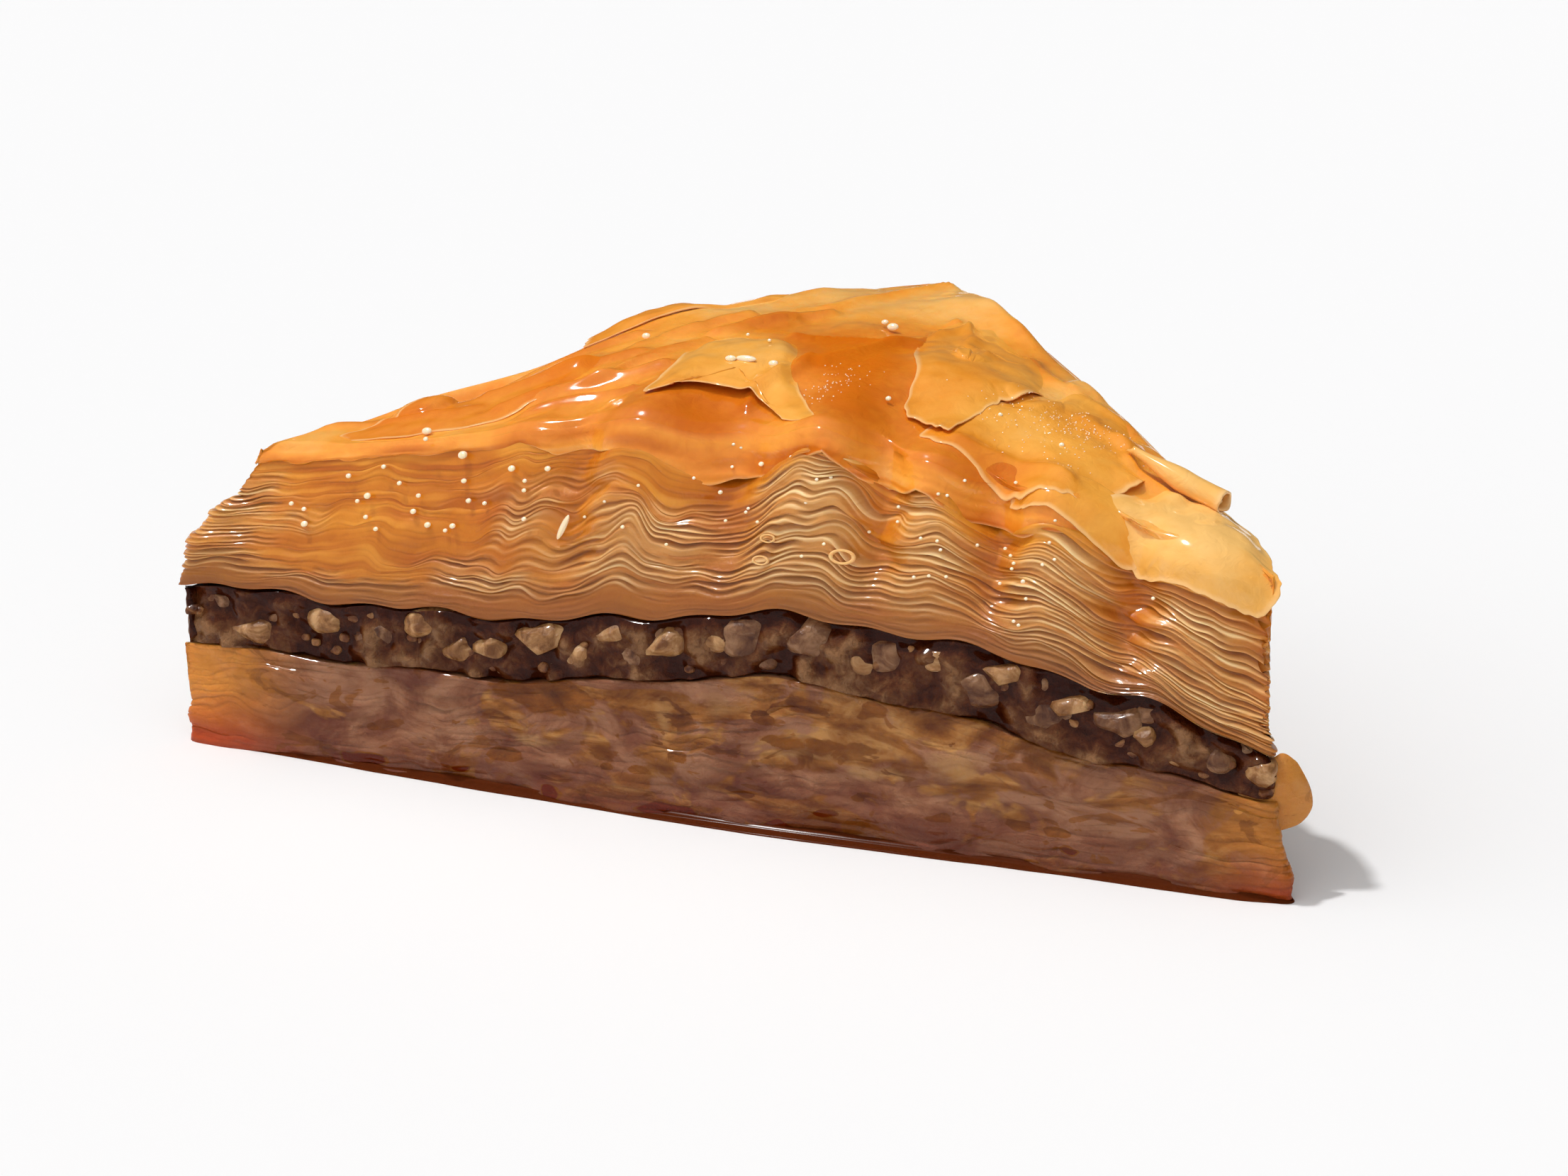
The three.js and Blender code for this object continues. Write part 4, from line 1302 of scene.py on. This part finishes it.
def addCamera(look):
    yaw, pitch = math.radians(look["yaw"]), math.radians(look["pitch"])
    back = Vector((math.sin(yaw) * math.cos(pitch), -math.cos(yaw) * math.cos(pitch), math.sin(pitch)))
    bpy.ops.object.camera_add(location=(Vector(look["aim"]) + back * look["distance"]) * mm)
    camera = bpy.context.object
    camera.rotation_euler = back.to_track_quat("Z", "Y").to_euler()
    camera.data.sensor_width = look["sensor"]
    camera.data.lens = look["focalPixels"] / look["widthPixels"] * look["sensor"]
    camera.data.clip_start = 0.01
    bpy.context.scene.camera = camera


def addFloor():
    bpy.ops.mesh.primitive_plane_add(size=6)
    floor = bpy.context.object
    floor.name = "floor"
    paper = Finish("floor")
    paper.set(colour=(243.45, 243.45, 244.04), roughness=0.9, specular=0.0)
    floor.data.materials.append(paper.material)


lights = {
    "sun": 1.55, "sparkle": 14, "sunFrom": (-0.36, -0.06, 1.0), "sunAngle": 3,
    "sky": 0.08, "glow": 1.0,
    "glowFrom": (-0.25, -0.6, 0.77),  # the studio is brightest above and before the piece
}


def addLights(look):
    for energy in ("sun", "sparkle"):
        bpy.ops.object.light_add(type="SUN")
        sun = bpy.context.object
        sun.name = energy
        sun.data.energy = look[energy]
        sun.data.angle = math.radians(look["sunAngle"])
        sun.rotation_euler = Vector(look["sunFrom"]).to_track_quat("Z", "Y").to_euler()
        sun.visible_diffuse = energy == "sun"
    world = bpy.data.worlds.new("studio")
    world.use_nodes = True
    nodes, links = world.node_tree.nodes, world.node_tree.links
    spot, facing = nodes.new("ShaderNodeTexCoord"), nodes.new("ShaderNodeVectorMath")
    bright = nodes.new("ShaderNodeMapRange")
    nodes["Background"].inputs["Color"].default_value = (1, 0.995, 0.99, 1)
    facing.operation = "DOT_PRODUCT"
    facing.inputs[1].default_value = Vector(look["glowFrom"]).normalized()
    bright.inputs["To Min"].default_value = look["sky"]
    bright.inputs["To Max"].default_value = look["sky"] + look["glow"]
    links.new(spot.outputs["Generated"], facing.inputs[0])
    links.new(facing.outputs["Value"], bright.inputs["Value"])
    links.new(bright.outputs["Result"], nodes["Background"].inputs["Strength"])
    bpy.context.scene.world = world


addFloor()
addLights(lights)
addCamera(view)
bpy.context.scene.view_settings.view_transform = "Standard"
print("stage made")
